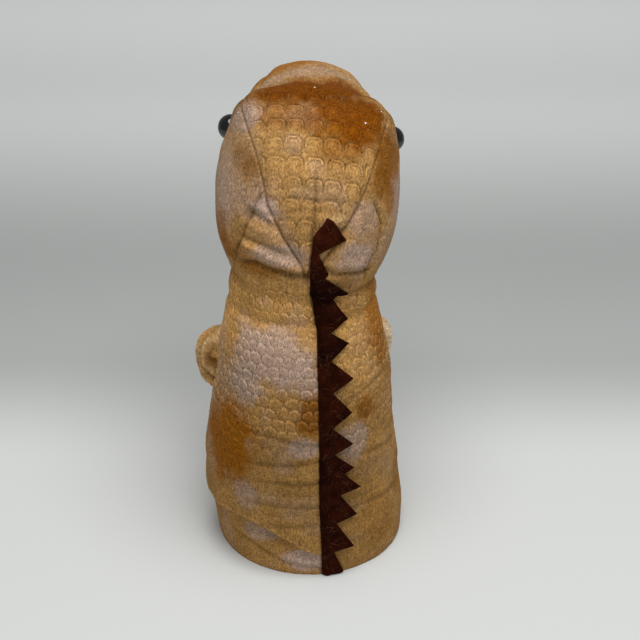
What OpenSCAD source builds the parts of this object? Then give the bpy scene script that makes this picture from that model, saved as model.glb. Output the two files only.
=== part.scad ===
// Dinosaur hand puppet: a cloth sleeve that stands on its hem, a stuffed head with
// a hinged jaw, two stuffed arms and a felt spike strip sewn into the back seam.
// Millimetres, +Z up. The snout points along -Y and the hem's centre is the origin.

/* [Sleeve] */
// Height of the sleeve from the hem to the neck
sleeve_h = 160; // [145:1:180]
// Radius of the round hem
hem_r = 57; // [52:0.5:62]
// Half width at the belly, the widest level
belly_r = 58; // [53:0.5:63]
// Height of the belly level
belly_z = 50; // [42:1:58]
// Half width at the chest
chest_r = 51; // [47:0.5:54]
// Height of the chest level
chest_z = 118; // [112:1:124]
// Sideways lean of the slumped belly
lean = 5.5; // [0:0.5:7]
// Angle of the side seams from the back seam
side_seam = 118; // [105:1:124]
// How far the cloth slumps over the hem on the left
slump = 2.5; // [0:0.5:4]

/* [Cloth] */
// Thickness of the velour with its pile
cloth_t = 2; // [1.2:0.1:2.6]
// Thickness of the woven lining
lining_t = 0.8; // [0.4:0.1:1.2]
// Loose space between velour and lining
lining_gap = 1.2; // [0.8:0.1:2]
// Height of the turned-in hem facing
hem_h = 13; // [8:1:18]
// Gap left between pieces that touch
fit = 0.3; // [0.2:0.05:0.5]

/* [Neck] */
// Height of the neck stretch between sleeve and head
neck_h = 24; // [20:1:30]
// Half width of the neck at the head's rim
rim_w = 43.5; // [40:0.5:46]
// Half depth of the neck at the head's rim
rim_d = 39; // [36:0.5:42]
// How far the neck is drawn in, as a share of its radius
neck_pinch = 0.05; // [0:0.01:0.1]
// Sideways place of the neck
neck_x = 5; // [0:0.5:6]

/* [Head] */
// Half width across the cheeks
cheek_w = 51; // [47:0.5:55]
// Half width across the brow
brow_w = 47; // [44:0.5:50]
// Height of the brow above the head's rim
brow_h = 95; // [88:1:102]
// Half width of the muzzle
muzzle_w = 41.5; // [37:0.5:44]
// Height of the muzzle's top above the head's rim
muzzle_h = 96; // [90:1:100]
// Height of the lip above the head's rim
lip_h = 30.5; // [29:0.5:32]
// Reach of the nose in front of the neck's axis
snout_f = 107; // [98:1:116]
// Reach of the brow's fold in front of the neck's axis
brow_f = 31; // [28:0.5:34]
// Reach of the skull behind the middle of the head
skull_r = 52; // [48:0.5:55]
// Turn of the resting head about the neck
head_turn = -8; // [-12:1:12]
// Sideways tilt of the resting head
head_tilt = -5; // [-6:1:6]
// Angle round each head section at which the cheek ends at the lip
lip_a = 125; // [120:1:130]

/* [Jaw] */
// Half width of the jaw
jaw_w = 31.5; // [28:0.5:32]
// Depth of the jaw below the mouth
jaw_d = 20; // [16:0.5:21]
// Place of the jaw's hinge in front of the neck's axis
hinge_f = 30; // [28:0.5:32]
// Reach of the chin in front of the neck's axis
chin_f = 97.5; // [90:0.5:98]
// Height of the jaw's rim above the head's rim
jaw_z = 22.5; // [21:0.5:23]
// Thickness of the stiff mouth plates
plate_t = 1.4; // [1:0.1:1.6]
// Length of the tongue
tongue_l = 50; // [40:1:56]
// Thickness of the felt tongue
tongue_t = 2; // [1:0.1:2.4]

/* [Teeth] */
// Length of an upper tooth
tooth_h = 7; // [5:0.5:8]
// Length of a lower tooth
low_tooth_h = 3; // [2:0.2:3.2]
// Width of a tooth at its root
tooth_w = 5.6; // [4:0.2:6]
// Thickness of the tooth felt
tooth_t = 1.5; // [1:0.1:1.8]

/* [Eyes] */
// Diameter of the plastic eye
eye_d = 15; // [12:0.5:18]
// Diameter of the eye's shank
shank_d = 4.4; // [3.5:0.1:5]
// Length of the eye's shank
shank_l = 10; // [8:0.5:11]
// Diameter of the eye's back washer
washer_d = 12; // [10:0.5:14]
// Thickness of the eye's back washer
washer_t = 1.5; // [1:0.1:2]

/* [Arms] */
// Height of the shoulder
shoulder_z = 108; // [100:1:112]
// Angle of the shoulder in front of the side
shoulder_a = 40; // [32:1:44]
// Radius of the upper arm
arm_r = 12.5; // [11:0.5:14]
// How far the elbow hangs below the shoulder
elbow_drop = 27; // [22:1:30]
// Length of the forearm
forearm_l = 38; // [32:1:42]
// Length of a claw
claw_l = 8; // [5:0.5:10]

/* [Spikes] */
// Thickness of the spike felt
felt_t = 1.6; // [1:0.1:2]
// Reach of a spike from the back seam
spike_out = 22; // [18:0.5:25]
// Reach of the felt between two spikes
notch_out = 10; // [6:0.5:13]

/* [Hidden] */

velour = "#a9824f";
lining_colour = "#6b5136";
fill_colour = "#efece4";
felt = "#3a1c10";
mouth_colour = "#b0655a";
tooth_colour = "#efe9d8";
plastic = "#101012";

// Room between the velour and the stuffing, where the facets of both may meet
fill_gap = 3 * fit;
// Columns round a whole section, and rings in each span between key sections
ring_n = 24;
head_steps = 2;
// Lower edge of the cloth lining above the table
lining_lift = 2;
// Slack left at both ends of the neck cloth
end_gap = fit + 0.2;
// Stand-off of the spikes' free edge from the cloth
spike_lift = 1.6;
// Centre of the neck, about which the head is set
pivot = [neck_x, 0, sleeve_h + neck_h / 2];

// Catmull-Rom value of a list of rows at place s, counted in rows
function row_at(rows, s) =
  let (n = len(rows) - 1, i = min(floor(s), n - 1), u = s - i)
  let (a = rows[max(i - 1, 0)], b = rows[i], c = rows[i + 1], d = rows[min(i + 2, n)])
  b + u * ((c - a) + u * (2 * a - 5 * b + 4 * c - d + u * (3 * (b - c) + d - a))) / 2;
function bend(v, e) = sign(v) * pow(abs(v), e);
function unit(v) = v / norm(v);
function steps(a, b, n) = [for (i = [0:n]) a + (b - a) * i / n];
function mix(a, b, u) = a + (b - a) * u;

// Sleeve: rows of height, sideways place, half width and half depth
sleeve_rows = [
  [0, 0, hem_r, hem_r],
  [hem_h + 6, lean * 0.2, hem_r + 0.8, hem_r + 1],
  [belly_z, lean, belly_r, belly_r - 1],
  [(belly_z + chest_z) / 2, lean * 0.9, mix(belly_r, chest_r, 0.4), mix(belly_r, chest_r, 0.5)],
  [chest_z, lean * 0.6, chest_r, chest_r - 2],
  [sleeve_h, neck_x, rim_w + 0.5, rim_d]];
sleeve_top = len(sleeve_rows) - 1;
sleeve_s = steps(0, sleeve_top, 12);

// The roll of cloth that hangs over the hem on the left of the back
function roll_out(z, a) =
  slump * exp(-pow((z - hem_h - 5) / 6, 2)) * pow(max(0, cos(a - 60)), 2);
function sleeve_pt(s, a, inset, roll = 1) =
  let (r = row_at(sleeve_rows, s), o = roll * roll_out(r[0], a) - inset)
  [r[1] + (r[2] + o) * sin(a), (r[3] + o) * cos(a), r[0]];
// Place along the sleeve whose height is z, by bisection
function sleeve_at(z, lo = 0, hi = sleeve_top, n = 24) =
  n == 0 ? (lo + hi) / 2 :
  row_at(sleeve_rows, (lo + hi) / 2)[0] < z ? sleeve_at(z, (lo + hi) / 2, hi, n - 1)
                                            : sleeve_at(z, lo, (lo + hi) / 2, n - 1);

// Head: rows of forward place, height, slant, half width, reach to the top, reach to
// the mouth, squareness, and the shares of width and reach that the hand's room takes
nose = snout_f - brow_f;
// Reach below a section's middle that brings the cheek's edge to the lip's height
function to_lip(k) = lip_h * (k - 1) / pow(-cos(lip_a), 1 / 3);
head_rows = [
  [0, 0, 0, rim_w, rim_d, rim_d - 1, 2, 0.8, 0.8],
  [brow_f * 0.03, lip_h * 0.43, 14, mix(rim_w, cheek_w, 0.6), skull_r * 0.83, rim_d * 0.92, 2.1, 0.79, 0.76],
  [brow_f * 0.16, lip_h * 0.79, 32, mix(rim_w, cheek_w, 0.93), skull_r * 0.92, rim_d * 0.77, 2.3, 0.78, 0.7],
  [brow_f * 0.39, lip_h * 1.05, 52, cheek_w, skull_r, rim_d * 0.615, 2.7, 0.78, 0.62],
  [brow_f * 0.71, lip_h * 1.21, 68, mix(cheek_w, brow_w, 0.3), (brow_h * 0.937 - lip_h * 1.21) / sin(68),
    rim_d * 0.51, 3.6, 0.77, 0.55],
  [brow_f, lip_h * 1.31, 78, brow_w, (brow_h - lip_h * 1.31) / sin(78), to_lip(1.34), 5, 0.77, 0.5],
  [brow_f + nose * 0.18, lip_h * 1.38, 86, mix(brow_w, muzzle_w, 0.65), muzzle_h * 0.98 - lip_h * 1.38,
    to_lip(1.38), 3.2, 0.74, 0.47],
  [brow_f + nose * 0.43, lip_h * 1.44, 90, muzzle_w, muzzle_h - lip_h * 1.44, to_lip(1.44), 2.4, 0.7, 0.45],
  [brow_f + nose * 0.67, lip_h * 1.475, 92, muzzle_w * 0.89, muzzle_h * 0.94 - lip_h * 1.475,
    to_lip(1.475), 2.2, 0.66, 0.42],
  [brow_f + nose * 0.87, lip_h * 1.54, 94, muzzle_w * 0.68, muzzle_h * 0.83 - lip_h * 1.54,
    to_lip(1.54), 2.1, 0.5, 0.3],
  [brow_f + nose * 0.97, lip_h * 1.64, 95, muzzle_w * 0.42, muzzle_h * 0.73 - lip_h * 1.64,
    to_lip(1.64), 2, 0.3, 0.25],
  [snout_f - 0.6, lip_h * 1.74, 95, muzzle_w * 0.22, muzzle_h * 0.655 - lip_h * 1.74, to_lip(1.74), 2, 0.3, 0.25],
  [snout_f, lip_h * 1.77, 95, cloth_t + 0.3, cloth_t + 2, to_lip(1.77), 2, 0.3, 0.25]];
nose_s = len(head_rows) - 1;
head_s = steps(0, nose_s, nose_s * head_steps);

// Point of the head at place s and angle a; core takes the wall of the hand's room
function head_pt(s, a, inset, core = 0) =
  let (r = row_at(head_rows, s), flat_e = 2 / (2 + 4 * pow(sin(min(r[2], 90)), 2)), e = 2 / r[6])
  let (w = mix(r[3], r[3] * r[7], core) - inset, t = mix(r[4], r[4] * r[8], core) - inset)
  let (up = cos(a) >= 0, x = w * bend(sin(a), up ? e : flat_e))
  let (v = (up ? t : r[5]) * bend(cos(a), up ? e : flat_e))
  [x, -(r[0] - v * cos(r[2])), r[1] + v * sin(r[2])];

// Turns and tilts a point of the head about the neck, as head_set does to solids
function head_place(p) =
  let (q = p + [0, 0, neck_h / 2], c = cos(head_tilt), s = sin(head_tilt))
  let (x = q[0] * c + q[2] * s, z = q[2] * c - q[0] * s)
  pivot + [x * cos(head_turn) - q[1] * sin(head_turn), x * sin(head_turn) + q[1] * cos(head_turn), z];
module head_set() {
  translate(pivot) rotate([0, head_tilt, head_turn]) translate([0, 0, neck_h / 2]) children();
}

// Neck: cloth drawn in between the sleeve's top and the head's rim
function neck_pt(u, a, inset) =
  let (low = sleeve_pt(sleeve_top, a, inset), high = head_place(head_pt(0, a, inset)))
  let (axis = [neck_x, 0, mix(low[2], high[2], u)], p = mix(low, high, u))
  axis + (p - axis) * (1 - neck_pinch * sin(180 * u));

// Jaw: rows of forward place, half width, depth, and the share that the thumb's room takes
chin = chin_f - hinge_f;
jaw_rows = [
  [hinge_f * 0.6, jaw_w * 0.95, jaw_d * 0.8, 0.72],
  [hinge_f + chin * 0.06, jaw_w, jaw_d, 0.72],
  [hinge_f + chin * 0.37, jaw_w * 0.985, jaw_d * 0.975, 0.7],
  [hinge_f + chin * 0.65, jaw_w * 0.87, jaw_d * 0.85, 0.66],
  [hinge_f + chin * 0.86, jaw_w * 0.63, jaw_d * 0.62, 0.5],
  [hinge_f + chin * 0.96, jaw_w * 0.35, jaw_d * 0.4, 0.35],
  [chin_f, cloth_t * 2.5, cloth_t * 2, 0.3]];
chin_s = len(jaw_rows) - 1;
jaw_s = steps(0, chin_s, chin_s * 2);
function jaw_pt(s, a, inset, core = 0) =
  let (r = row_at(jaw_rows, s), k = mix(1, r[3], core))
  [(r[1] * k - inset) * sin(a), -r[0], jaw_z + (r[2] * k - inset) * cos(a)];

// Closed wall between two grids of points; closed joins the last column to the first
module wall(outer, inner, closed = false) {
  rows = len(outer);
  cols = len(outer[0]);
  last = closed ? cols : cols - 1;
  function o(i, j) = i * cols + j % cols;
  function q(i, j) = rows * cols + o(i, j);
  function quad(a, b, c, d) = [[a, b, c], [a, c, d]];
  sides = closed ? [] : [for (i = [0:rows - 2]) each concat(
    quad(o(i, 0), o(i + 1, 0), q(i + 1, 0), q(i, 0)),
    quad(o(i, last), q(i, last), q(i + 1, last), o(i + 1, last)))];
  ends = [for (j = [0:last - 1]) each concat(
    quad(o(0, j + 1), o(0, j), q(0, j), q(0, j + 1)),
    quad(o(rows - 1, j), o(rows - 1, j + 1), q(rows - 1, j + 1), q(rows - 1, j)))];
  faces = [for (i = [0:rows - 2]) for (j = [0:last - 1]) each concat(
    quad(o(i, j), o(i, j + 1), o(i + 1, j + 1), o(i + 1, j)),
    quad(q(i, j), q(i + 1, j), q(i + 1, j + 1), q(i, j + 1)))];
  polyhedron(concat([for (g = outer) each g], [for (g = inner) each g]), concat(faces, sides, ends));
}

// Closed tube through rings of points, with flat ends
module plug(rings) {
  rows = len(rings);
  cols = len(rings[0]);
  function o(i, j) = i * cols + j % cols;
  ring_faces = [for (i = [0:rows - 2]) for (j = [0:cols - 1])
    each [[o(i, j), o(i, j + 1), o(i + 1, j + 1)], [o(i, j), o(i + 1, j + 1), o(i + 1, j)]]];
  caps = [for (j = [1:cols - 2])
    each [[o(0, j + 1), o(0, j), o(0, 0)], [o(rows - 1, 0), o(rows - 1, j), o(rows - 1, j + 1)]]];
  polyhedron([for (g = rings) each g], concat(ring_faces, caps));
}

// Sleeve pieces; the back seam hangs plumb where the belly leans aside
function seam_a(s) = let (r = row_at(sleeve_rows, s)) -atan(0.75 * r[1] / r[3]);
head_seam_a = -2.5;
module sleeve_panel(from, to, cols) {
  function grid(inset) = [for (s = sleeve_s) [for (a = steps(from(s), to(s), cols)) sleeve_pt(s, a, inset)]];
  wall(grid(0), grid(cloth_t));
}
module back_left_panel() {
  color(velour) sleeve_panel(function (s) seam_a(s), function (s) side_seam, 8);
}
module back_right_panel() {
  color(velour) sleeve_panel(function (s) -side_seam, function (s) seam_a(s), 8);
}
module belly_panel() {
  color(velour) sleeve_panel(function (s) side_seam, function (s) 360 - side_seam, 8);
}
// Turned-in hem: a round band against the inside of the panels, where the hand goes in
module hem_facing() {
  facing_r = (hem_r - cloth_t) * cos(180 / ring_n) - fit - lean * 0.1;
  color(velour) translate([0, 0, fit]) difference() {
    cylinder(h = hem_h, r = facing_r, $fn = 96);
    translate([0, 0, -1]) cylinder(h = hem_h + 2, r = facing_r - cloth_t, $fn = 96);
  }
}
module sleeve_lining() {
  inset = cloth_t + lining_gap;
  places = steps(sleeve_at(hem_h + fit + lining_lift), sleeve_top, 8);
  angles = [for (j = [0:15]) j * 22.5];
  color(lining_colour) wall(
    [for (s = places) [for (a = angles) sleeve_pt(s, a, inset, 0)]],
    [for (s = places) [for (a = angles) sleeve_pt(s, a, inset + lining_t, 0)]], true);
}
// Heights of the spikes' tips, as shares of the sleeve's height
spike_at = [0.02, 0.15, 0.29, 0.41, 0.5, 0.6, 0.73, 0.87, 0.985];
// Zigzag edge of the felt: height and reach of every tip, and of the notch above it
zigzag = concat([[0, spike_out * 0.9]], [for (i = [0:len(spike_at) - 1]) each
  i < len(spike_at) - 1 ? [[spike_at[i], spike_out], [(spike_at[i] + spike_at[i + 1]) / 2, notch_out]]
                        : [[spike_at[i], spike_out]]], [[1 - fit / sleeve_h, spike_out * 0.9]]);
function felt_angle(reach, r) = -reach / r * 180 / PI;
module back_spikes() {
  function strip(inset) = [for (l = zigzag)
    let (s = sleeve_at(l[0] * sleeve_h), a = felt_angle(l[1], belly_r))
    [for (u = [1, 0.5, 0]) sleeve_pt(s, seam_a(s) + a * u, -inset - fit - spike_lift * u)]];
  color(felt) wall(strip(felt_t), strip(0));
}

// Neck pieces
module neck_ring(inset, thick, cols) {
  levels = steps(end_gap / neck_h, 1 - end_gap / neck_h, 3);
  angles = [for (j = [0:cols - 1]) j * 360 / cols];
  wall([for (u = levels) [for (a = angles) neck_pt(u, a, inset)]],
       [for (u = levels) [for (a = angles) neck_pt(u, a, inset + thick)]], true);
}
module neck_cloth() {
  color(velour) neck_ring(0, cloth_t, ring_n);
}
module neck_lining() {
  color(lining_colour) neck_ring(cloth_t + lining_gap + 3 * fit, lining_t, 16);
}
module neck_spike() {
  levels = [[end_gap / neck_h, spike_out * 0.7], [0.17, notch_out], [0.38, spike_out * 0.9], [0.6, notch_out],
            [0.88, spike_out * 0.85], [1 - end_gap / neck_h, spike_out * 0.7]];
  function strip(inset) = [for (l = levels)
    let (root = mix(seam_a(sleeve_top), head_seam_a, l[0]), a = felt_angle(l[1], rim_d))
    [for (u = [1, 0.5, 0]) neck_pt(l[0], root + a * u, -inset - fit - spike_lift * u)]];
  color(felt) wall(strip(felt_t), strip(0));
}

// Head skin: the crown gusset runs from nape to nose, widest at the brow
crown_rows = [[3], [8], [22], [35], [42], [45], [43], [40], [38], [38], [40], [42], [42]];
function crown_a(s) = row_at(crown_rows, s)[0];
// The nape panels carry the sleeve's cloth up to a point beside the crown
nape_s = 2.5;
function nape_a(s) = mix(86, crown_a(nape_s) + 0.8, s / nape_s);
function cheek_a(s) = s > nape_s ? crown_a(s) : nape_a(s);
module skin(places, cols, side, from, to) {
  function grid(inset) = [for (s = places) let (a0 = from(s), a1 = to(s))
    [for (u = steps(side > 0 ? 0 : 1, side > 0 ? 1 : 0, cols)) head_pt(s, side * mix(a0, a1, u), inset)]];
  head_set() wall(grid(0), grid(cloth_t));
}
module crown_panel() {
  color(velour) skin(head_s, 6, 1, function (s) -crown_a(s), function (s) crown_a(s));
}
module cheek_panel(side) {
  color(velour) skin(head_s, 7, side, function (s) cheek_a(s), function (s) lip_a);
}
module nape_panel(side) {
  places = [for (s = head_s) if (s <= nape_s) s];
  color(velour) skin(places, 6, side, function (s) crown_a(s), function (s) nape_a(s));
}
// Stuffing: an arch under the skin, round the room for the hand
module head_stuffing() {
  places = [for (s = head_s) if (s <= nose_s - 1.5) s];
  angles = steps(-lip_a, lip_a, 14);
  color(fill_colour) head_set() wall(
    [for (s = places) [for (a = angles) head_pt(s, a, cloth_t + fill_gap)]],
    [for (s = places) [for (a = angles) head_pt(s, a, 0, 1)]]);
}
module finger_lining() {
  places = steps(0.2, nose_s - 3, 9);
  angles = steps(-lip_a, lip_a, 10);
  color(lining_colour) head_set() wall(
    [for (s = places) [for (a = angles) head_pt(s, a, fit + lining_t, 1)]],
    [for (s = places) [for (a = angles) head_pt(s, a, fit + 2 * lining_t, 1)]]);
}
// Stiff plate that forms the roof of the mouth, just under the lip
palate_top = lip_h - 3 * fit;
floor_top = jaw_z + fit + plate_t;
mouth_s = 5.4;
function lip_pt(s, inset) = let (p = head_pt(s, lip_a, inset)) [p[0], p[1]];
module upper_mouth_plate() {
  edge = [for (s = steps(mouth_s, nose_s, 12)) lip_pt(s, fit)];
  outline = concat(edge, [for (i = [len(edge) - 1:-1:0]) [-edge[i][0], edge[i][1]]]);
  color(mouth_colour) head_set() translate([0, 0, palate_top - plate_t])
    linear_extrude(plate_t) polygon(outline);
}
// Fold of mouth cloth that slopes from the palate's back edge down to the jaw's hinge
module mouth_fold() {
  back_f = -lip_pt(mouth_s, fit)[1];
  w = jaw_w - 6;
  drop = palate_top - plate_t - floor_top - lining_t - 4 * fit;
  run = back_f - hinge_f - 1;
  color(mouth_colour) head_set() translate([0, -back_f, palate_top - plate_t - fit])
    rotate([-atan(drop / run), 0, 0]) translate([-w, 0, -lining_t]) cube([2 * w, run, lining_t]);
}
// One felt tooth, root along X at the origin and tip along -Y before it is stood up
module tooth(w, h) {
  rotate([90, 0, 0]) translate([0, 0, -tooth_t / 2]) linear_extrude(tooth_t)
    polygon([[-w / 2, 0], [w / 2, 0], [w * 0.1, -h], [-w * 0.1, -h]]);
}
module upper_teeth() {
  color(tooth_colour) head_set() for (side = [-1, 1]) for (s = [5.9:0.5:9.9]) {
    p = lip_pt(s, 2.6);
    d = lip_pt(s + 0.1, 2.6) - lip_pt(s - 0.1, 2.6);
    translate([side * p[0], p[1], palate_top - plate_t - fit])
      rotate(atan2(d[1], side * d[0])) tooth(tooth_w, tooth_h);
  }
}
module head_spikes() {
  levels = [[0.03, spike_out * 0.6], [0.2, notch_out], [0.5, spike_out * 0.55], [0.75, notch_out], [1.1, spike_out],
            [1.5, 2]];
  function strip(inset) = [for (l = levels)
    [for (u = [1, 0.5, 0])
      head_pt(l[0], head_seam_a + felt_angle(l[1], rim_d + 4) * u, -inset - fit - spike_lift * u)]];
  color(felt) head_set() wall(strip(felt_t), strip(0));
}

// Plastic eye on a shank through the cheek, held by a washer behind the cloth
// The eye stands on the cheek's own surface, square to it
eye_s = 5.3;
eye_a = 79;
eye_place = head_pt(eye_s, eye_a, 0);
eye_dir = unit(cross(head_pt(eye_s + 0.1, eye_a, 0) - head_pt(eye_s - 0.1, eye_a, 0),
                     head_pt(eye_s, eye_a + 2, 0) - head_pt(eye_s, eye_a - 2, 0)));
eye_sink = eye_d * 0.04;
module eye_set(side) {
  head_set() mirror([side > 0 ? 0 : 1, 0, 0]) translate(eye_place)
    rotate([0, acos(eye_dir[2]), atan2(eye_dir[1], eye_dir[0])]) children();
}
module eye(side) {
  color(plastic) eye_set(side) {
    difference() {
      translate([0, 0, eye_sink]) sphere(d = eye_d, $fn = 64);
      translate([0, 0, -eye_d]) cube([2 * eye_d, 2 * eye_d, 2 * eye_d], center = true);
    }
    translate([0, 0, -shank_l]) cylinder(h = shank_l + 1, d = shank_d, $fn = 48);
  }
}
module eye_washer(side) {
  depth = cloth_t + 4 * fit + washer_t;
  color(plastic) eye_set(side) translate([0, 0, -depth]) difference() {
    cylinder(h = washer_t, d = washer_d, $fn = 64);
    translate([0, 0, -1]) cylinder(h = washer_t + 2, d = shank_d + 0.1, $fn = 48);
  }
}

// Jaw pieces
module jaw_layer(places, cols, inset0, core0, inset1, core1) {
  angles = steps(90, 270, cols);
  head_set() wall([for (s = places) [for (a = angles) jaw_pt(s, a, inset0, core0)]],
                  [for (s = places) [for (a = angles) jaw_pt(s, a, inset1, core1)]]);
}
module jaw_panel() {
  color(velour) jaw_layer(jaw_s, 10, 0, 0, cloth_t, 0);
}
module jaw_stuffing() {
  color(fill_colour) jaw_layer([for (s = jaw_s) if (s < chin_s) s], 10, cloth_t + fit, 0, 0, 1);
}
module thumb_lining() {
  color(lining_colour) jaw_layer(steps(0.1, chin_s - 2, 6), 8, fit + lining_t, 1, fit + 2 * lining_t, 1);
}
module lower_mouth_plate() {
  edge = [for (s = steps(0.4, chin_s, 12)) let (p = jaw_pt(s, 90, fit)) [p[0], p[1]]];
  outline = concat(edge, [for (i = [len(edge) - 1:-1:0]) [-edge[i][0], edge[i][1]]]);
  color(mouth_colour) head_set() translate([0, 0, jaw_z + fit]) linear_extrude(plate_t) polygon(outline);
}
module lower_teeth() {
  color(tooth_colour) head_set() for (side = [-1, 1]) for (s = [1.6:0.4:4.8]) {
    p = jaw_pt(s, 90, 2);
    d = jaw_pt(s + 0.1, 90, 2) - jaw_pt(s - 0.1, 90, 2);
    translate([side * p[0], p[1], floor_top]) rotate(atan2(d[1], side * d[0]))
      mirror([0, 0, 1]) tooth(tooth_w * 0.8, low_tooth_h);
  }
}
module tongue() {
  w = jaw_w * 0.45;
  root_f = 2 - lip_pt(mouth_s, fit)[1];
  color(mouth_colour) head_set() translate([0, -root_f, floor_top]) linear_extrude(tongue_t) union() {
    translate([-w, w - tongue_l]) square([2 * w, tongue_l - w]);
    translate([0, w - tongue_l]) circle(r = w, $fn = 48);
  }
}

// Arm: rows of outward place, forward place, height and radius, from shoulder to hand
arm_rows = [
  [0, 0, 0, arm_r * 0.92],
  [arm_r * 0.4, 0, 0, arm_r],
  [arm_r * 0.84, forearm_l * 0.01, -elbow_drop * 0.16, arm_r * 1.04],
  [arm_r * 1.24, forearm_l * 0.05, -elbow_drop * 0.55, arm_r],
  [arm_r * 1.4, forearm_l * 0.16, -elbow_drop * 0.92, arm_r * 0.92],
  [arm_r * 1.36, forearm_l * 0.38, -elbow_drop * 1.1, arm_r * 0.82],
  [arm_r * 1.28, forearm_l * 0.68, -elbow_drop * 1.1, arm_r * 0.76],
  [arm_r * 1.24, forearm_l * 0.9, -elbow_drop * 1.04, arm_r * 0.74],
  [arm_r * 1.2, forearm_l * 1.05, -elbow_drop, arm_r * 0.52],
  [arm_r * 1.2, forearm_l * 1.12, -elbow_drop * 0.98, arm_r * 0.2]];
hand_s = len(arm_rows) - 1;
function arm_mid(s) = let (r = row_at(arm_rows, s)) [r[0], -r[1], r[2]];
function arm_ring(s, inset, cols) =
  let (t = unit(arm_mid(min(s + 0.2, hand_s)) - arm_mid(max(s - 0.2, 0))), u = unit(cross(t, [1, 1, 0.3])))
  let (v = cross(t, u), r = max(row_at(arm_rows, s)[3] - inset, 0.6))
  [for (j = [0:cols - 1]) arm_mid(s) + r * (cos(j * 360 / cols) * u - sin(j * 360 / cols) * v)];
// Shoulders stand off the sleeve enough to clear it below, where it widens and leans
function shoulder_gap(side) = 1.7 + side * lean * 0.09;
module arm_set(side) {
  p = sleeve_pt(sleeve_at(shoulder_z), side * (90 + shoulder_a), -shoulder_gap(side));
  translate(p) mirror([side > 0 ? 0 : 1, 0, 0]) rotate([0, 0, -shoulder_a]) children();
}
module arm_cover(side) {
  places = steps(0, hand_s, hand_s);
  outer = [for (s = places) arm_ring(s, 0, 12)];
  inner = [for (s = places) arm_ring(s, cloth_t, 12)];
  color(velour) arm_set(side) wall(outer, inner, true);
}
module arm_stuffing(side) {
  color(fill_colour) arm_set(side)
    plug([for (s = steps(0, hand_s - 1, hand_s - 1)) arm_ring(s, cloth_t + fit, 12)]);
}
module claws(side) {
  color(felt) arm_set(side) for (k = [-1, 1])
    translate(arm_mid(hand_s) + [k * 2.6, 1.5, 0]) rotate([90 + 14, 0, k * 12])
      cylinder(h = claw_l, r1 = 2.2, r2 = 0.4, $fn = 32);
}

back_left_panel();
back_right_panel();
belly_panel();
hem_facing();
sleeve_lining();
back_spikes();
neck_cloth();
neck_lining();
neck_spike();
crown_panel();
cheek_panel(1);  // left_cheek_panel
cheek_panel(-1);  // right_cheek_panel
nape_panel(1);  // left_nape_panel
nape_panel(-1);  // right_nape_panel
head_stuffing();
finger_lining();
upper_mouth_plate();
mouth_fold();
upper_teeth();
head_spikes();
eye(1);  // left_eye
eye(-1);  // right_eye
eye_washer(1);  // left_eye_washer
eye_washer(-1);  // right_eye_washer
jaw_panel();
jaw_stuffing();
thumb_lining();
lower_mouth_plate();
lower_teeth();
tongue();
arm_cover(1);  // left_arm_cover
arm_stuffing(1);  // left_arm_stuffing
claws(1);  // left_claws
arm_cover(-1);  // right_arm_cover
arm_stuffing(-1);  // right_arm_stuffing
claws(-1);  // right_claws
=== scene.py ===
import math

import bpy
import numpy as np
from mathutils import Matrix, Vector


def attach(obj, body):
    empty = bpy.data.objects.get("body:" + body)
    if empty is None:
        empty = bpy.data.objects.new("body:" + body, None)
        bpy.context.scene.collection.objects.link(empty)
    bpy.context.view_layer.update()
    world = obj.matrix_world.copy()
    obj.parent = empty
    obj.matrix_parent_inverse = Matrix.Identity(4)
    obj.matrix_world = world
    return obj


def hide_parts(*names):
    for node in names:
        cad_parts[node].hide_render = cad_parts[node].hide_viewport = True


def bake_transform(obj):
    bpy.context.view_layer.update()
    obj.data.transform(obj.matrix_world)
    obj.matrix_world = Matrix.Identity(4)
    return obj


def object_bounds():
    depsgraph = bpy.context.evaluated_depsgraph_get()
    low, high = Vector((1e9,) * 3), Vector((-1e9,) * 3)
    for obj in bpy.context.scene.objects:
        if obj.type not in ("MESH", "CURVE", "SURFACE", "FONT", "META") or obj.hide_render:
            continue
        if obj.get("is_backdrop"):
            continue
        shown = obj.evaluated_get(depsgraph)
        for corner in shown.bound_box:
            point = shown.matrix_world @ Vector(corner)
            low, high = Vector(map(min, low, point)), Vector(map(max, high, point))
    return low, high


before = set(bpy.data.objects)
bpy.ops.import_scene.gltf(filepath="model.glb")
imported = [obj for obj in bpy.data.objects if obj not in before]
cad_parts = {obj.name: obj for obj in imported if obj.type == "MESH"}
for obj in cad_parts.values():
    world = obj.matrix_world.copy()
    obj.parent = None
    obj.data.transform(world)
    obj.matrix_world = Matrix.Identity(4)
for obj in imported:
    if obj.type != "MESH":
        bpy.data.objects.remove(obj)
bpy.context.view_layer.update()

# The photograph's view: a long lens behind the puppet's left shoulder, looking down at it
# from above. The picture is taken to be 640 by 640; lengths of the picture are in pixels.
PICTURE, FOCUS = 640, 1601
SENSOR = 36
VIEW_AZIMUTH, VIEW_DROP = math.radians(171), math.radians(30)
camera_away, camera_height, camera_aside = 0.818, 0.617, 0.0064


def stood(name, data):
    """A new object of the scene that holds this data."""
    made = bpy.data.objects.new(name, data)
    bpy.context.scene.collection.objects.link(made)
    return made


forward = Vector((-math.sin(VIEW_AZIMUTH), math.cos(VIEW_AZIMUTH), 0))
aside = forward.cross(Vector((0, 0, 1)))
looking = forward * math.cos(VIEW_DROP) - Vector((0, 0, math.sin(VIEW_DROP)))
lens = bpy.data.cameras.new("photo_view")
lens.sensor_width = SENSOR
lens.lens = SENSOR * FOCUS / PICTURE
camera = stood("photo_view", lens)
camera.location = -forward * camera_away + Vector((0, 0, camera_height)) + aside * camera_aside
camera.rotation_mode = "QUATERNION"
camera.rotation_quaternion = looking.to_track_quat("-Z", "Y")
bpy.context.scene.camera = camera

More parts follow.
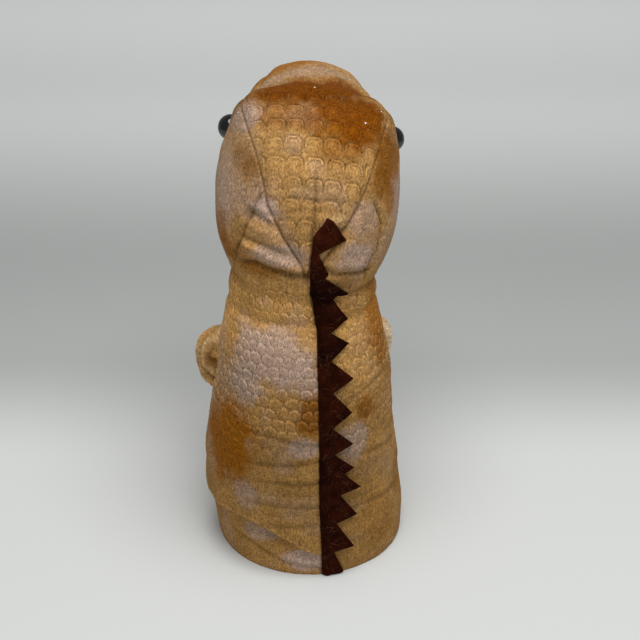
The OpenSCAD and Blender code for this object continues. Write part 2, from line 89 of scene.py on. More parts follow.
# Velour sleeve: two back panels and a belly panel of short-pile cloth, embossed with pebble
# scales and airbrushed, sewn into an open tube. It stands on its hem and has slumped over it
# on one side. The tube runs on into the neck, and is cut here at the collar height.
MM = 0.001
DEG = math.pi / 180
SLEEVE_TOP, NECK_TOP, COLLAR = 160.0, 184.0, 150.0
HEM_R, HEM_H, LEAN = 57.0, 13.0, 5.5
BELLY_Z, BELLY_R, CHEST_Z, CHEST_R = 50.0, 58.0, 118.0, 51.0
NECK_X, RIM_W, RIM_D, NECK_PINCH = 5.0, 43.5, 39.0, 0.05
HEAD_TURN, HEAD_TILT = -8.0, -5.0
CHEEK_W, SKULL_R, LIP_H = 51.0, 52.0, 30.5
BROW_F, BROW_W, BROW_H = 31.0, 47.0, 95.0
MUZZLE_W, MUZZLE_H, SNOUT_F = 41.5, 96.0, 107.0
CLOTH_T, LINING_GAP = 2.0, 1.5
SIDE_SEAM, LIP = 118.0, 125.0
MEAN_R = 52.0
ROW = 0.85


def mix(a, b, u):
    return a + (b - a) * u


def to_lip(k):
    """Reach below a section's middle that brings the cheek's edge to the lip's height."""
    return LIP_H * (k - 1) / (-math.cos(LIP * DEG)) ** (1 / 3)


def brow_reach(share, rise, slant):
    """Reach from a slanting section's middle up to a share of the brow's height."""
    return (BROW_H * share - LIP_H * rise) / math.sin(slant * DEG)


# Sleeve: rows of height, sideways place, half width and half depth
sleeve_rows = np.array([
    [0, 0, HEM_R, HEM_R],
    [HEM_H + 6, LEAN * 0.2, HEM_R + 0.8, HEM_R + 1],
    [BELLY_Z, LEAN, BELLY_R, BELLY_R - 1],
    [(BELLY_Z + CHEST_Z) / 2, LEAN * 0.9, mix(BELLY_R, CHEST_R, 0.4), mix(BELLY_R, CHEST_R, 0.5)],
    [CHEST_Z, LEAN * 0.6, CHEST_R, CHEST_R - 2],
    [SLEEVE_TOP, NECK_X, RIM_W + 0.5, RIM_D]])
# Head: rows of forward place, height, slant, half width, reach to the top, reach to the mouth,
# squareness, and the shares of width and reach that the room for the fingers takes
nose = SNOUT_F - BROW_F
head_rows = np.array([
    [0, 0, 0, RIM_W, RIM_D, RIM_D - 1, 2, 0.8, 0.8],
    [BROW_F * 0.03, LIP_H * 0.43, 14, mix(RIM_W, CHEEK_W, 0.6), SKULL_R * 0.83, RIM_D * 0.92,
     2.1, 0.79, 0.76],
    [BROW_F * 0.16, LIP_H * 0.79, 32, mix(RIM_W, CHEEK_W, 0.93), SKULL_R * 0.92, RIM_D * 0.77,
     2.3, 0.78, 0.7],
    [BROW_F * 0.39, LIP_H * 1.05, 52, CHEEK_W, SKULL_R, RIM_D * 0.615, 2.7, 0.78, 0.62],
    [BROW_F * 0.71, LIP_H * 1.21, 68, mix(CHEEK_W, BROW_W, 0.3), brow_reach(0.937, 1.21, 68), RIM_D * 0.51,
     3.6, 0.77, 0.55],
    [BROW_F, LIP_H * 1.31, 78, BROW_W, brow_reach(1, 1.31, 78), to_lip(1.34), 5, 0.77, 0.5]] + [
    [BROW_F + nose * go, LIP_H * rise, slant, wide, MUZZLE_H * high - LIP_H * rise, to_lip(rise),
     square, kw, kh]
    for go, rise, slant, wide, high, square, kw, kh in (
        (0.18, 1.38, 86, mix(BROW_W, MUZZLE_W, 0.65), 0.98, 3.2, 0.74, 0.47),
        (0.43, 1.44, 90, MUZZLE_W, 1, 2.4, 0.7, 0.45),
        (0.67, 1.475, 92, MUZZLE_W * 0.89, 0.94, 2.2, 0.66, 0.42),
        (0.87, 1.54, 94, MUZZLE_W * 0.68, 0.83, 2.1, 0.5, 0.3),
        (0.97, 1.64, 95, MUZZLE_W * 0.42, 0.73, 2, 0.3, 0.25))] + [
    [SNOUT_F - 0.6, LIP_H * 1.74, 95, MUZZLE_W * 0.22, MUZZLE_H * 0.655 - LIP_H * 1.74, to_lip(1.74),
     2, 0.3, 0.25],
    [SNOUT_F, LIP_H * 1.77, 95, CLOTH_T + 0.3, CLOTH_T + 2, to_lip(1.77), 2, 0.3, 0.25]])
SNOUT = len(head_rows) - 1


def between(rows, s):
    """Smooth curve through rows, at place s."""
    s = np.asarray(s, float)
    last = len(rows) - 1
    i = np.clip(np.floor(s).astype(int), 0, last - 1)
    u = (s - i)[..., None]
    a, b = rows[np.maximum(i - 1, 0)], rows[i]
    c, d = rows[i + 1], rows[np.minimum(i + 2, last)]
    return b + u * ((c - a) + u * (2 * a - 5 * b + 4 * c - d + u * (3 * (b - c) + d - a))) / 2


def power(t, e):
    return np.sign(t) * np.abs(t) ** e


def head_point(s, a, room=False):
    """Point of the head's skin, or of the room for the fingers, in the head's own frame; a is the
    angle round from the crown."""
    f, z, tilt, w, t, b, n, kw, kt = np.moveaxis(between(head_rows, s), -1, 0)
    if room:
        w, t = w * kw - LINING_GAP, t * kt - LINING_GAP
    low = 2 / (2 + 4 * np.sin(np.minimum(tilt, 90) * DEG) ** 2)
    up = np.cos(a * DEG) >= 0
    e = np.where(up, 2 / n, low)
    x = w * power(np.sin(a * DEG), e)
    v = np.where(up, t, b) * power(np.cos(a * DEG), e)
    return np.stack([x, -(f - v * np.cos(tilt * DEG)), z + v * np.sin(tilt * DEG)], -1)


half_neck = (NECK_TOP - SLEEVE_TOP) / 2
head_set = np.array(Matrix.Translation((NECK_X, 0, SLEEVE_TOP + half_neck))
                    @ Matrix.Rotation(HEAD_TURN * DEG, 4, "Z") @ Matrix.Rotation(HEAD_TILT * DEG, 4, "Y")
                    @ Matrix.Translation((0, 0, half_neck)))
head_axes = head_set[:3, :3]


def on_head(p):
    """Turns and tilts points of the head about the neck."""
    return p @ head_axes.T + head_set[:3, 3]


level_s = np.linspace(0, len(sleeve_rows) - 1, 2001)
level_z = between(sleeve_rows, level_s)[:, 0]


def sleeve_row(level):
    return between(sleeve_rows, np.interp(level, level_z, level_s))


def tube(level, a):
    """Bare tube of the body at a height along the cloth; above the sleeve it is the neck."""
    level, a = np.broadcast_arrays(np.asarray(level, float), np.asarray(a, float))
    z, cx, rx, ry = np.moveaxis(sleeve_row(level), -1, 0)
    body = np.stack([cx + rx * np.sin(a * DEG), ry * np.cos(a * DEG), z], -1)
    rim = on_head(head_point(np.zeros_like(a), a))
    u = np.clip((level - SLEEVE_TOP) / (NECK_TOP - SLEEVE_TOP), 0, 1)[..., None]
    p = mix(body, rim, u)
    axis = np.stack([np.full_like(a, NECK_X), np.zeros_like(a), p[..., 2]], -1)
    return axis + (p - axis) * (1 - NECK_PINCH * np.sin(np.pi * u))


def unit(v):
    return v / np.maximum(np.linalg.norm(v, axis=-1, keepdims=True), 1e-9)


def tube_out(level, a):
    """Outward direction of the bare tube."""
    level, a = np.broadcast_arrays(np.asarray(level, float), np.asarray(a, float))
    h = np.clip(level, 0.5, NECK_TOP - 0.5)
    rise = tube(h + 0.5, a) - tube(h - 0.5, a)
    return unit(np.cross(rise, tube(h, a + 0.5) - tube(h, a - 0.5)))


def lattice(i, j, k, seed):
    """Fixed random number from 0 to 1 for each cell."""
    n = (i * 374761393 + j * 668265263 + k * 2147483647 + seed * 974634377) & 0xFFFFFFFF
    n = ((n ^ (n >> 13)) * 1274126177) & 0xFFFFFFFF
    return ((n ^ (n >> 16)) & 0xFFFF) / 65535.0


def drift(p, size, seed):
    """Smooth random field from -1 to 1, with features of that size."""
    q = np.asarray(p, float) / size
    i = np.floor(q).astype(np.int64)
    f = q - i
    f = f * f * (3 - 2 * f)
    total = 0.0
    for corner in np.ndindex(2, 2, 2):
        w = np.prod(np.where(corner, f, 1 - f), -1)
        total = total + w * lattice(*np.moveaxis(i + corner, -1, 0), seed)
    return 2 * total - 1


def mottled(p, *clouds):
    """A tone about one, clouded by drifts of strength, size and seed."""
    return 1 + sum(strength * drift(p, size, seed) for strength, size, seed in clouds)


def hump(x, width):
    return np.exp(-(x / width) ** 2)


def step(x, low, high):
    t = np.clip((x - low) / (high - low), 0, 1)
    return t * t * (3 - 2 * t)


def from_back(a):
    """Angle round from the back, between -180 and 180."""
    return (a + 180) % 360 - 180


HEAD_SEAM = -2.5


def back_seam(level):
    """Angle of the back seam, which hangs plumb where the belly leans aside."""
    row = sleeve_row(level)
    root = -np.arctan(0.75 * row[..., 1] / row[..., 3]) / DEG
    return mix(root, HEAD_SEAM, step(level, SLEEVE_TOP, NECK_TOP)) - 3.2 * hump(level - 180, 10)


def off_seams(level, a):
    """Ways along the cloth from the back seam and from the nearer side seam."""
    return (a - back_seam(level)) * DEG * MEAN_R, (np.abs(a) - SIDE_SEAM) * DEG * MEAN_R


# Lower edge of the slumped roll and the tuck below it: angles from the back, and heights there
fold_angle = [-8, 6, 15.5, 25.5, 32, 39.5, 50.5, 65, 112]
fold_level = [12, 18.5, 26, 32, 36, 39, 39, 37, 36]
tuck_angle, tuck_level = [-8, 5.5, 26.5, 44, 51, 61.5, 90], [3, 5, 9, 17.3, 18.8, 19.8, 20]
# Creases of the sleeve: height, rise per degree, angle of the deepest place, half length, depth
creases = [(80, -0.14, 8, 26, 1.3), (65.5, -0.05, 6, 24, 1.2), (49, 0.02, 10, 30, 0.9),
           (36, -0.02, 12, 22, 0.8), (93, 0.08, 22, 26, 0.7), (118, -0.10, -46, 22, 0.8),
           (72, 0.16, -58, 26, 1.1), (40, 0.10, -52, 24, 1.0), (128, 0.05, 58, 24, 0.7),
           (58, 0.04, 150, 40, 1.0), (96, -0.06, 176, 36, 0.9), (132, 0.04, 170, 40, 1.0)]


def slumped(a):
    """Height of the slumped roll's lower edge, and how fully the roll hangs at that angle."""
    return np.interp(a, fold_angle, fold_level), step(a, -9, 14) * (1 - step(a, 70, 112))


def folds(level, a, p):
    """How far the cloth of the body stands out, in folds and seams but without its scales."""
    a = from_back(a)
    out = 1.1 * drift(p, 34, 3) + 0.6 * drift(p, 13, 4) + 0.2 * drift(p, 6, 8)
    back, side = off_seams(level, a)
    out = out - 1.3 * hump(back, 1.2) + 0.5 * hump(np.abs(back) - 5, 4)
    out = out - (1.0 + 0.3 * np.sin(level * 0.9)) * hump(side, 1.3) + 0.4 * hump(np.abs(side) - 5, 4)
    stray = 1.6 * drift(p, 16, 5)
    for height, rise, middle, half, depth in creases:
        away = from_back(a - middle)
        x = level - height - rise * away + stray
        out = out + depth * hump(away, half) * (0.7 * hump(x - 4, 3) - hump(x, 1.5))
    # the slumped roll, and the tuck it leaves above the hem
    edge, weight = slumped(a)
    x = level - edge + 0.8 * drift(p, 14, 6)
    under = -1.9 + 4.2 * np.exp(np.minimum(x, 0) / 1.5) + 1.5 * step(-x, 3, 17)
    out = out + weight * np.where(x > 0, 2.3 * hump(x, 11), under)
    x = level - np.interp(a, tuck_angle, tuck_level) + 0.6 * drift(p, 11, 9)
    weight = step(a, -6, 8) * (1 - step(a, 58, 84))
    out = out + weight * (0.9 * hump(x - 3.5, 3) - 1.3 * hump(x, 1.5))
    out = out + 2.4 * hump(level - 60, 16) * hump(a + 82, 24)
    # the neck's pinch, shallower left of the seam, and the swells about it
    pinch = 2.6 - 1.5 * step(a, -16, 4) * (1 - step(a, 44, 60))
    out = out - pinch * hump(level - 180, 3.0) + 1.3 * hump(level - 170, 4.5)
    out = out - 1.1 * hump(level - 162 - 2 * drift(p, 20, 7), 2.4)
    return out * step(level, -1, 2.5)


def pebbles(u, v, wide, high, seed, around=0):
    """Irregular rounded scales: how far a point is inside its scale, and where in it."""
    gx, gy = u / wide, v / high
    row0, col0 = np.floor(gy).astype(np.int64), np.floor(gx).astype(np.int64)
    first, second = np.full(u.shape, 9.0), np.full(u.shape, 9.0)
    side, top = np.zeros(u.shape), np.zeros(u.shape)
    for dr in (-2, -1, 0, 1, 2):
        for dc in (-2, -1, 0, 1, 2):
            r, c = row0 + dr, col0 + dc
            name = np.mod(c, around) if around else c
            x = c + 0.5 + 0.5 * (r & 1) + 0.5 * (lattice(name, r, 1, seed) - 0.5) - 0.25
            y = r + 0.5 + 0.45 * (lattice(name, r, 2, seed) - 0.5)
            d = np.hypot(gx - x, gy - y) / (0.85 + 0.3 * lattice(name, r, 3, seed))
            near = d < first
            second = np.where(near, first, np.minimum(second, d))
            side, top = np.where(near, gx - x, side), np.where(near, gy - y, top)
            first = np.where(near, d, first)
    return second - first, side, top


def linear(r, g, b):
    """Colour as the eye names it, in the light's own scale."""
    c = np.array([r, g, b], float) / 255
    return np.where(c <= 0.04045, c / 12.92, ((c + 0.055) / 1.055) ** 2.4)


TAN, RUST, LILAC = linear(168, 127, 75), linear(134, 80, 10), linear(172, 147, 131)
DEEP, CREAM, GOLDEN = linear(116, 62, 5), linear(188, 154, 108), linear(171, 128, 72)
# Airbrushed places, from the chest up to the snout and then round the hem: middle and reach in mm,
# colour and strength
airbrush = [
    ((53, 26, 83), (25, 24, 30), RUST * 1.3, 1.0), ((7, 50, 108), (9, 9, 15), RUST, 0.9),
    ((-28, 41, 106), (9, 9, 10), RUST, 0.8), ((-37, 17, 150), (16, 16, 27), RUST, 0.8),
    ((28, 36, 143), (27, 27, 19), LILAC * 0.94, 0.8), ((42, 31, 124), (14, 14, 13), LILAC, 0.75),
    ((10, 50, 131), (14, 14, 9), LILAC, 0.6), ((11, 53, 91), (10, 10, 7), LILAC, 0.8),
    ((-19, 49, 89), (12, 12, 13), LILAC, 0.75), ((11, 57, 10), (14, 13, 8), LILAC * 1.2, 0.95),
    ((38, 44, 27), (15, 12, 6), LILAC, 0.65), ((42, 40, 54), (12, 12, 10), LILAC, 0.5),
    ((21, 37, 208), (19, 14, 8), LILAC, 0.75), ((-20, 38, 206), (14, 13, 11), LILAC, 0.8),
    # the cream place at (-9, 39, 226) is a painted highlight on the bulge at the crown's lower right edge
    ((-24, 35, 225), (11, 12, 11), LILAC, 0.5), ((-9, 39, 226), (9, 10, 6), CREAM, 0.7),
    ((28, 29, 234), (8, 8, 7), LILAC, 0.85), ((34, 29, 196), (17, 13, 6), RUST, 0.7),
    ((44, 14, 205), (12, 12, 9), RUST, 0.5), ((52, -4, 214), (10, 14, 16), RUST, 0.4),
    ((0, -4, 273), (36, 17, 10), DEEP, 0.5), ((-19, -2, 271), (23, 17, 13), DEEP, 0.9),
    ((-14, 13, 262), (15, 14, 12), RUST, 0.6), ((-30, 2, 266), (16, 16, 14), DEEP, 0.95),
    ((-6, -26, 279), (46, 17, 14), DEEP, 1.0), ((-44, 8, 248), (13, 18, 22), RUST, 0.85),
    ((-4, -49, 279), (52, 7, 12), LILAC, 0.42), ((37, -12, 271), (13, 12, 10), LILAC, 0.7),
    ((47, 2, 236), (14, 16, 26), LILAC, 0.5), ((-46, 6, 226), (12, 14, 16), LILAC, 0.75),
    ((-52, -20, 230), (16, 16, 18), LILAC, 0.4), ((4, -74, 274), (44, 19, 20), RUST, 0.8),
    ((44, -40, 262), (13, 14, 14), RUST, 0.7), ((-46, -62, 250), (13, 14, 16), RUST, 0.7),
    ((34, 13, 250), (5, 6, 8), RUST, 0.45), ((38, 6, 255), (8, 9, 10), DEEP, 0.35),
    ((50, 6, 212), (6, 9, 12), RUST, 0.55), ((47, 13, 204), (7, 8, 8), RUST, 0.5),
    ((-37, 22, 240), (7, 8, 9), RUST, 0.75), ((-42, 20, 230), (6, 8, 9), RUST, 0.65),
    ((48, -30, 60), (20, 20, 26), RUST, 0.7), ((-44, -32, 72), (18, 18, 26), RUST, 0.7),
    ((-50, 14, 42), (16, 16, 18), RUST, 0.5), ((-34, 42, 26), (17, 14, 24), RUST * 1.5, 0.22),
    ((-48, -8, 150), (12, 12, 18), LILAC, 0.4)]


def toned(paint, tone):
    """Colours made lighter or darker, point by point."""
    return paint * tone[..., None]


def tinted(paint, colour, share):
    """Colours moved towards another, point by point."""
    return paint + (colour - paint) * share[..., None]


def sprayed(p, paint):
    """Lays the airbrushed places over a cloth colour."""
    ragged = 0.20 * drift(p, 8, 11) + 0.14 * drift(p, 3.5, 12)
    for middle, reach, colour, strength in airbrush:
        r = np.linalg.norm((p - np.array(middle)) / np.array(reach), axis=-1)
        paint = tinted(paint, colour, strength * (1 - step(r + ragged, 0.58, 1.22)))
    return paint


def scale_light_and_shade(paint, inside, side, top, strength):
    """Painted highlights on the scales' rims, stronger on their upper side, and painted shade in their grooves.
    """
    arch = step(top + 0.35 * side, -0.35, 0.4)
    rim = hump(inside - 0.24, 0.11) * (0.25 + 0.75 * arch) * strength
    groove = (1 - step(inside, 0.02, 0.16)) * (0.35 + 0.65 * arch) * strength
    return toned(tinted(paint, paint * 1.55 + 0.025, rim), 1 - 0.52 * groove)


def piece(name, points, faces, material, uv=None, tint=None, normals=None):
    """A mesh in place, from points in mm, with the cloth's own coordinates and colours."""
    mesh = bpy.data.meshes.new(name)
    mesh.from_pydata((np.reshape(points, (-1, 3)) * MM).tolist(), [], faces)
    mesh.polygons.foreach_set("use_smooth", np.ones(len(mesh.polygons), bool))
    if uv is not None:
        corner = np.zeros(len(mesh.loops), np.int32)
        mesh.loops.foreach_get("vertex_index", corner)
        layer = mesh.uv_layers.new(name="cloth")
        layer.data.foreach_set("uv", (np.reshape(uv, (-1, 2)) * MM)[corner].astype(np.float32).ravel())
    if tint is not None:
        colour = np.pad(np.reshape(tint, (-1, 3)), ((0, 0), (0, 1)), constant_values=1)
        layer = mesh.color_attributes.new("tint", "FLOAT_COLOR", "POINT")
        layer.data.foreach_set("color", colour.astype(np.float32).ravel())
    mesh.materials.append(material)
    mesh.update()
    if normals is not None:
        mesh.normals_split_custom_set_from_vertices(np.reshape(normals, (-1, 3)).tolist())
    return stood(name, mesh)


def quads(rows, cols, closed=False, start=0):
    """Faces of a grid of points, outward where rows rise and columns turn to the left side."""
    i = np.arange(rows - 1)[:, None]
    j = np.arange(cols if closed else cols - 1)[None, :]
    k = (j + 1) % cols
    f = np.stack([i * cols + j, (i + 1) * cols + j, (i + 1) * cols + k, i * cols + k], -1)
    return (f.reshape(-1, 4) + start).tolist()


def turned_over(faces):
    return [f[::-1] for f in faces]


def sloped(points, closed):
    """Outward direction at each point of a grid."""
    if closed:
        across = np.roll(points, -1, 1) - np.roll(points, 1, 1)
    else:
        across = np.gradient(points, axis=1)
    return unit(np.cross(np.gradient(points, axis=0), across))


def feed(tree, made, feeds):
    """Gives a node's inputs their values, or links them to (node, output) pairs."""
    for into, value in feeds.items():
        if isinstance(value, tuple) and isinstance(value[0], bpy.types.Node):
            tree.links.new(value[0].outputs[value[1]], made.inputs[into])
        else:
            made.inputs[into].default_value = value


def node(tree, kind, feeds=None, **settings):
    """A new node, with its settings and what feeds its inputs."""
    made = tree.nodes.new(kind)
    for name, value in settings.items():
        setattr(made, name, value)
    feed(tree, made, feeds or {})
    return made


def sums(tree, operation, *terms):
    """Math node of numbers or (node, output) pairs."""
    return node(tree, "ShaderNodeMath", dict(enumerate(terms)), operation=operation)


def effect(name, kind, inputs, outputs):
    """A node group with named sockets: a number is a Float's first value, a word the socket's kind."""
    made = bpy.data.node_groups.new(name, kind)
    for flow, sockets in (("INPUT", inputs), ("OUTPUT", outputs)):
        for key, value in sockets.items():
            word = value if isinstance(value, str) else "Float"
            opened = made.interface.new_socket(name=key, in_out=flow, socket_type="NodeSocket" + word)
            if not isinstance(value, str):
                opened.default_value = value
    return made, node(made, "NodeGroupInput")


def swing(tree, given, height):
    """Ends an effect: its height, and a shade about one that swings with the contrast."""
    spread = sums(tree, "MULTIPLY", (sums(tree, "SUBTRACT", (height, 0), 0.5), 0), 2.0)
    shade = sums(tree, "MULTIPLY_ADD", (spread, 0), (given, "Contrast"), 1.0)
    node(tree, "NodeGroupOutput", {"Shade": (shade, 0), "Height": (height, 0)})


# Brushed pile: short hairs that lie in wandering streaks
pile, given = effect("brushed_pile", "ShaderNodeTree",
                     {"Vector": "Vector", "Hair Width": 1900.0, "Hair Length": 640.0, "Contrast": 0.5},
                     {"Shade": "Float", "Height": "Float"})
swirl = node(pile, "ShaderNodeTexNoise", {"Vector": (given, "Vector"), "Scale": 130, "Detail": 1})
centred = node(pile, "ShaderNodeVectorMath", {0: (swirl, "Color"), 1: (0.5, 0.5, 0.5)}, operation="SUBTRACT")
pushed = node(pile, "ShaderNodeVectorMath",
              {0: (centred, 0), 1: (0.0028, 0.0028, 0.0028), 2: (given, "Vector")}, operation="MULTIPLY_ADD")
stretch = node(pile, "ShaderNodeCombineXYZ", {"X": (given, "Hair Width"), "Y": (given, "Hair Length"),
                                              "Z": (given, "Hair Width")})
lean = node(pile, "ShaderNodeMapping", {"Vector": (pushed, 0), "Rotation": (0, 0, -0.35)})
combed = node(pile, "ShaderNodeVectorMath", {0: (lean, 0), 1: (stretch, 0)}, operation="MULTIPLY")
streaks = node(pile, "ShaderNodeVectorMath", {0: (lean, 0), 1: (330, 165, 330)}, operation="MULTIPLY")
hairs = node(pile, "ShaderNodeTexNoise", {"Vector": (combed, 0), "Scale": 1, "Detail": 2, "Roughness": 0.6})
tufts = node(pile, "ShaderNodeTexNoise", {"Vector": (pushed, 0), "Scale": 420, "Detail": 2})
brushed = node(pile, "ShaderNodeTexNoise", {"Vector": (streaks, 0), "Scale": 1, "Detail": 2})
fine = sums(pile, "ADD", (sums(pile, "MULTIPLY", (hairs, 0), 0.70), 0),
            (sums(pile, "MULTIPLY", (tufts, 0), 0.14), 0))
swing(pile, given, sums(pile, "ADD", (fine, 0), (sums(pile, "MULTIPLY", (brushed, 0), 0.16), 0)))


def finish_of(name, base=(0.8, 0.8, 0.8), rough=0.9, sheen=0.0, sheen_tint=(1, 1, 1), coat=0.0, gloss=0.04):
    """A new material with its shader; returns the material, its tree and the shader."""
    made = bpy.data.materials.new(name)
    made.use_nodes = True
    tree = made.node_tree
    shader = tree.nodes["Principled BSDF"]
    feed(tree, shader, {"Base Color": (*base, 1), "Roughness": rough, "Sheen Weight": sheen,
                        "Sheen Roughness": 0.45, "Sheen Tint": (*sheen_tint, 1), "Coat Weight": coat,
                        "Specular IOR Level": gloss})
    return made, tree, shader


def textile(name, surface, ruffle, depth, colour=None, light_tinted=False, values=None, **finish):
    """A cloth shaded and roughened by a shared effect. Without a colour of its own it has its piece's
    tint, along the piece's cloth; it can also have its own colour times that tint, which carries painted light
    and shade."""
    made, tree, shader = finish_of(name, **finish)
    if colour is None or light_tinted:
        tint = node(tree, "ShaderNodeVertexColor", layer_name="tint")
    if colour is None:
        where, colour = (node(tree, "ShaderNodeUVMap", uv_map="cloth"), "UV"), (tint, "Color")
    else:
        where = (node(tree, "ShaderNodeTexCoord"), "Object")
    cloth = node(tree, "ShaderNodeGroup", {"Vector": where, **(values or {})}, node_tree=surface)
    shaded = node(tree, "ShaderNodeVectorMath", {0: colour, "Scale": (cloth, "Shade")}, operation="SCALE")
    if light_tinted:
        shaded = node(tree, "ShaderNodeVectorMath", {0: (shaded, 0), 1: (tint, "Color")}, operation="MULTIPLY")
    bump = node(tree, "ShaderNodeBump", {"Strength": ruffle, "Distance": depth, "Height": (cloth, "Height")})
    feed(tree, shader, {"Base Color": (shaded, 0), "Normal": (bump, 0)})
    return made


velour = textile("velour", pile, 0.7, 0.0006, values={"Contrast": 1.75},
                 rough=0.95, sheen=0.05, sheen_tint=(1.0, 0.74, 0.45))

# Angles of the columns: even steps along the head's rim, back and front of the lip's end
HALF, FRONT = 140, 122
t = np.linspace(0, 1, 1500)
dense = np.concatenate([90 * np.where(t < 0.5, 8 * t ** 4, 1 - 8 * (1 - t) ** 4),
                        90 + (LIP - 90) * np.linspace(0, 1, 500)[1:] ** 2.5])


def way_along(p):
    """Way along a row of points, from its first one."""
    return np.concatenate([[0], np.cumsum(np.linalg.norm(np.diff(p, axis=0), axis=1))])


def even_angles(s):
    """Angles from the crown to the lip in equal steps along the skin, and the length of the way."""
    way = way_along(head_point(np.full(dense.shape, s), dense))
    return np.interp(np.linspace(0, way[-1], HALF + 1), way, dense), way


rim_half = even_angles(0.0)[0]
columns = np.concatenate([-rim_half[:0:-1], rim_half, np.linspace(LIP, 360 - LIP, FRONT + 1)[1:-1]])
SCALES_ROUND, SCALE_H = 46, 6.3
GIRTH = 2 * math.pi * MEAN_R


def at_throat(a):
    """One at the front of the neck's rim, under the jaw, and nothing further round."""
    return step(np.cos((a - 180) * DEG), 0.58, 0.92)


def skin_ring(levels):
    """Finished skin of the tube on a grid: points, cloth coordinates and colours."""
    level, a = np.meshgrid(levels, columns, indexing="ij")
    bare, normal, back_a = tube(level, a), tube_out(level, a), from_back(a)
    uv = np.stack([a / 360 * GIRTH, level], -1)
    inside, side, top = pebbles(uv[..., 0], level, GIRTH / SCALES_ROUND, SCALE_H, 21, SCALES_ROUND)
    fade = 0.22 + 0.78 * step(level, 76, 110)
    fade = fade * (0.55 + 0.45 * step(drift(bare, 22, 31), -0.5, 0.4))
    out = folds(level, a, bare) + 0.62 * fade * (step(inside, 0.0, 0.4) - 0.6)
    points = bare + toned(normal, out)
    edge, weight = slumped(back_a)
    points[..., 2] -= weight * 1.6 * hump(np.maximum(level - edge, 0), 3) * (level > edge)
    points[..., 2] = np.maximum(points[..., 2], 0.05)
    # the throat's rim dips at the front to let the jaw down, and turns in
    throat = at_throat(a)
    points = points - toned(normal, 1.8 * step(level, 170, NECK_TOP) * throat)
    points[..., 2] -= 4.2 * step(level, 166, NECK_TOP) * throat
    belly = step(np.cos((a - 180) * DEG), 0.42, 0.60)
    paint = tinted(np.broadcast_to(GOLDEN, points.shape), CREAM, 0.8 * belly)
    paint = toned(paint, mottled(bare, (0.13, 24, 41), (0.14, 9, 42), (0.09, 4.5, 45)))
    clouds = 0.35 * step(drift(bare, 30, 43), 0.25, 0.8) + 0.28 * step(drift(bare, 11, 44), 0.0, 0.6)
    paint = tinted(paint, LILAC, clouds * (0.35 + 0.65 * step(a, -12, 10)))
    # painted light and shade, partly the airbrush's own grading: the shoulders are painted paler than the belly
    # and hem, painted shade darkens the back at mid-height, and the scales get painted highlights on their rims
    # and painted shade in their grooves
    pale = 0.80 + 0.30 * step(level, 108, 152) + 0.28 * hump(level - 158, 13)
    pale = pale - 0.16 * hump(level - 80, 34) * hump(back_a - 18, 34)
    paint = scale_light_and_shade(toned(sprayed(bare, paint), pale), inside, side, top, fade)
    # painted highlight along the slumped roll's lower edge, and painted light on the band below it
    lit = 0.45 * hump(level - edge - 0.6, 1.4) + 0.16 * step(edge - level, 2, 5)
    paint = toned(paint, 1 + weight * lit)
    back, sides = off_seams(level, back_a)
    return points, uv, toned(paint, 1 - 0.40 * hump(back, 0.8) - 0.22 * hump(sides, 0.8))


sleeve_levels = np.concatenate([np.linspace(0, COLLAR, int(COLLAR / ROW) + 1), [COLLAR + ROW]])
points, uv, paint = skin_ring(sleeve_levels)
out = sloped(points, True)
points, uv, paint, out = points[:-1], uv[:-1], paint[:-1], out[:-1]
# Turned-in hem: the cloth rolls under its edge and runs up inside as the facing
ROLL, ROLL_END = 2.3, 0.12
turn = np.linspace(0, 1, 14)[:0:-1]
hem_in = unit(points[0] * np.array([-1, -1, 0]))
facing = np.array([points[0] + hem_in * (ROLL * min(1, 3 * t))
                   + np.array([0, 0, HEM_H * max(0, t - ROLL_END) / (1 - ROLL_END)]) for t in turn])
points = np.concatenate([facing, points])
across, up = np.broadcast_arrays(uv[0, :, 0], -HEM_H * turn[:, None])
uv = np.concatenate([np.stack([across, up], -1), uv])
# the facing is painted a little darker, as painted shade inside the hem
paint = np.concatenate([np.broadcast_to(paint[0] * 0.9, facing.shape), paint])
out = np.concatenate([sloped(points, True)[:len(facing) + 1], out[1:]])
sleeve = piece("velour_sleeve", points, quads(*points.shape[:2], True), velour, uv, paint, out)
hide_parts("back_left_panel", "back_right_panel", "belly_panel", "hem_facing")
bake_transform(sleeve)

# Head: a stuffed velour cover of a crown gusset, two cheeks and two nape pieces, sewn inside
# out and turned, with square brow corners and a folded-under lip. Its cloth runs down into the
# neck, so this piece starts at the collar height.
HEAD_ROWS = 250
WIDE = 2 * HALF + 1
CROWN_COLUMNS = 85
places = np.linspace(0, SNOUT, 100 * SNOUT + 1)
lines = np.array([even_angles(s)[0] for s in places])
lines = head_point(places[:, None] * np.ones(HALF + 1), lines)
climb = np.linalg.norm(np.diff(lines, axis=0), axis=2)[:, :CROWN_COLUMNS].mean(1)
way_up = np.concatenate([[0], np.cumsum(climb)])
head_v = np.linspace(0, way_up[-1], HEAD_ROWS + 1)
head_s = np.interp(head_v, way_up, places)
half_angles, ways = zip(*[even_angles(s) for s in head_s])
head_a = np.concatenate([-np.array(half_angles)[:, :0:-1], np.array(half_angles)], 1)
head_w = np.array([w[-1] for w in ways])[:, None] * np.linspace(-1, 1, WIDE)[None, :]
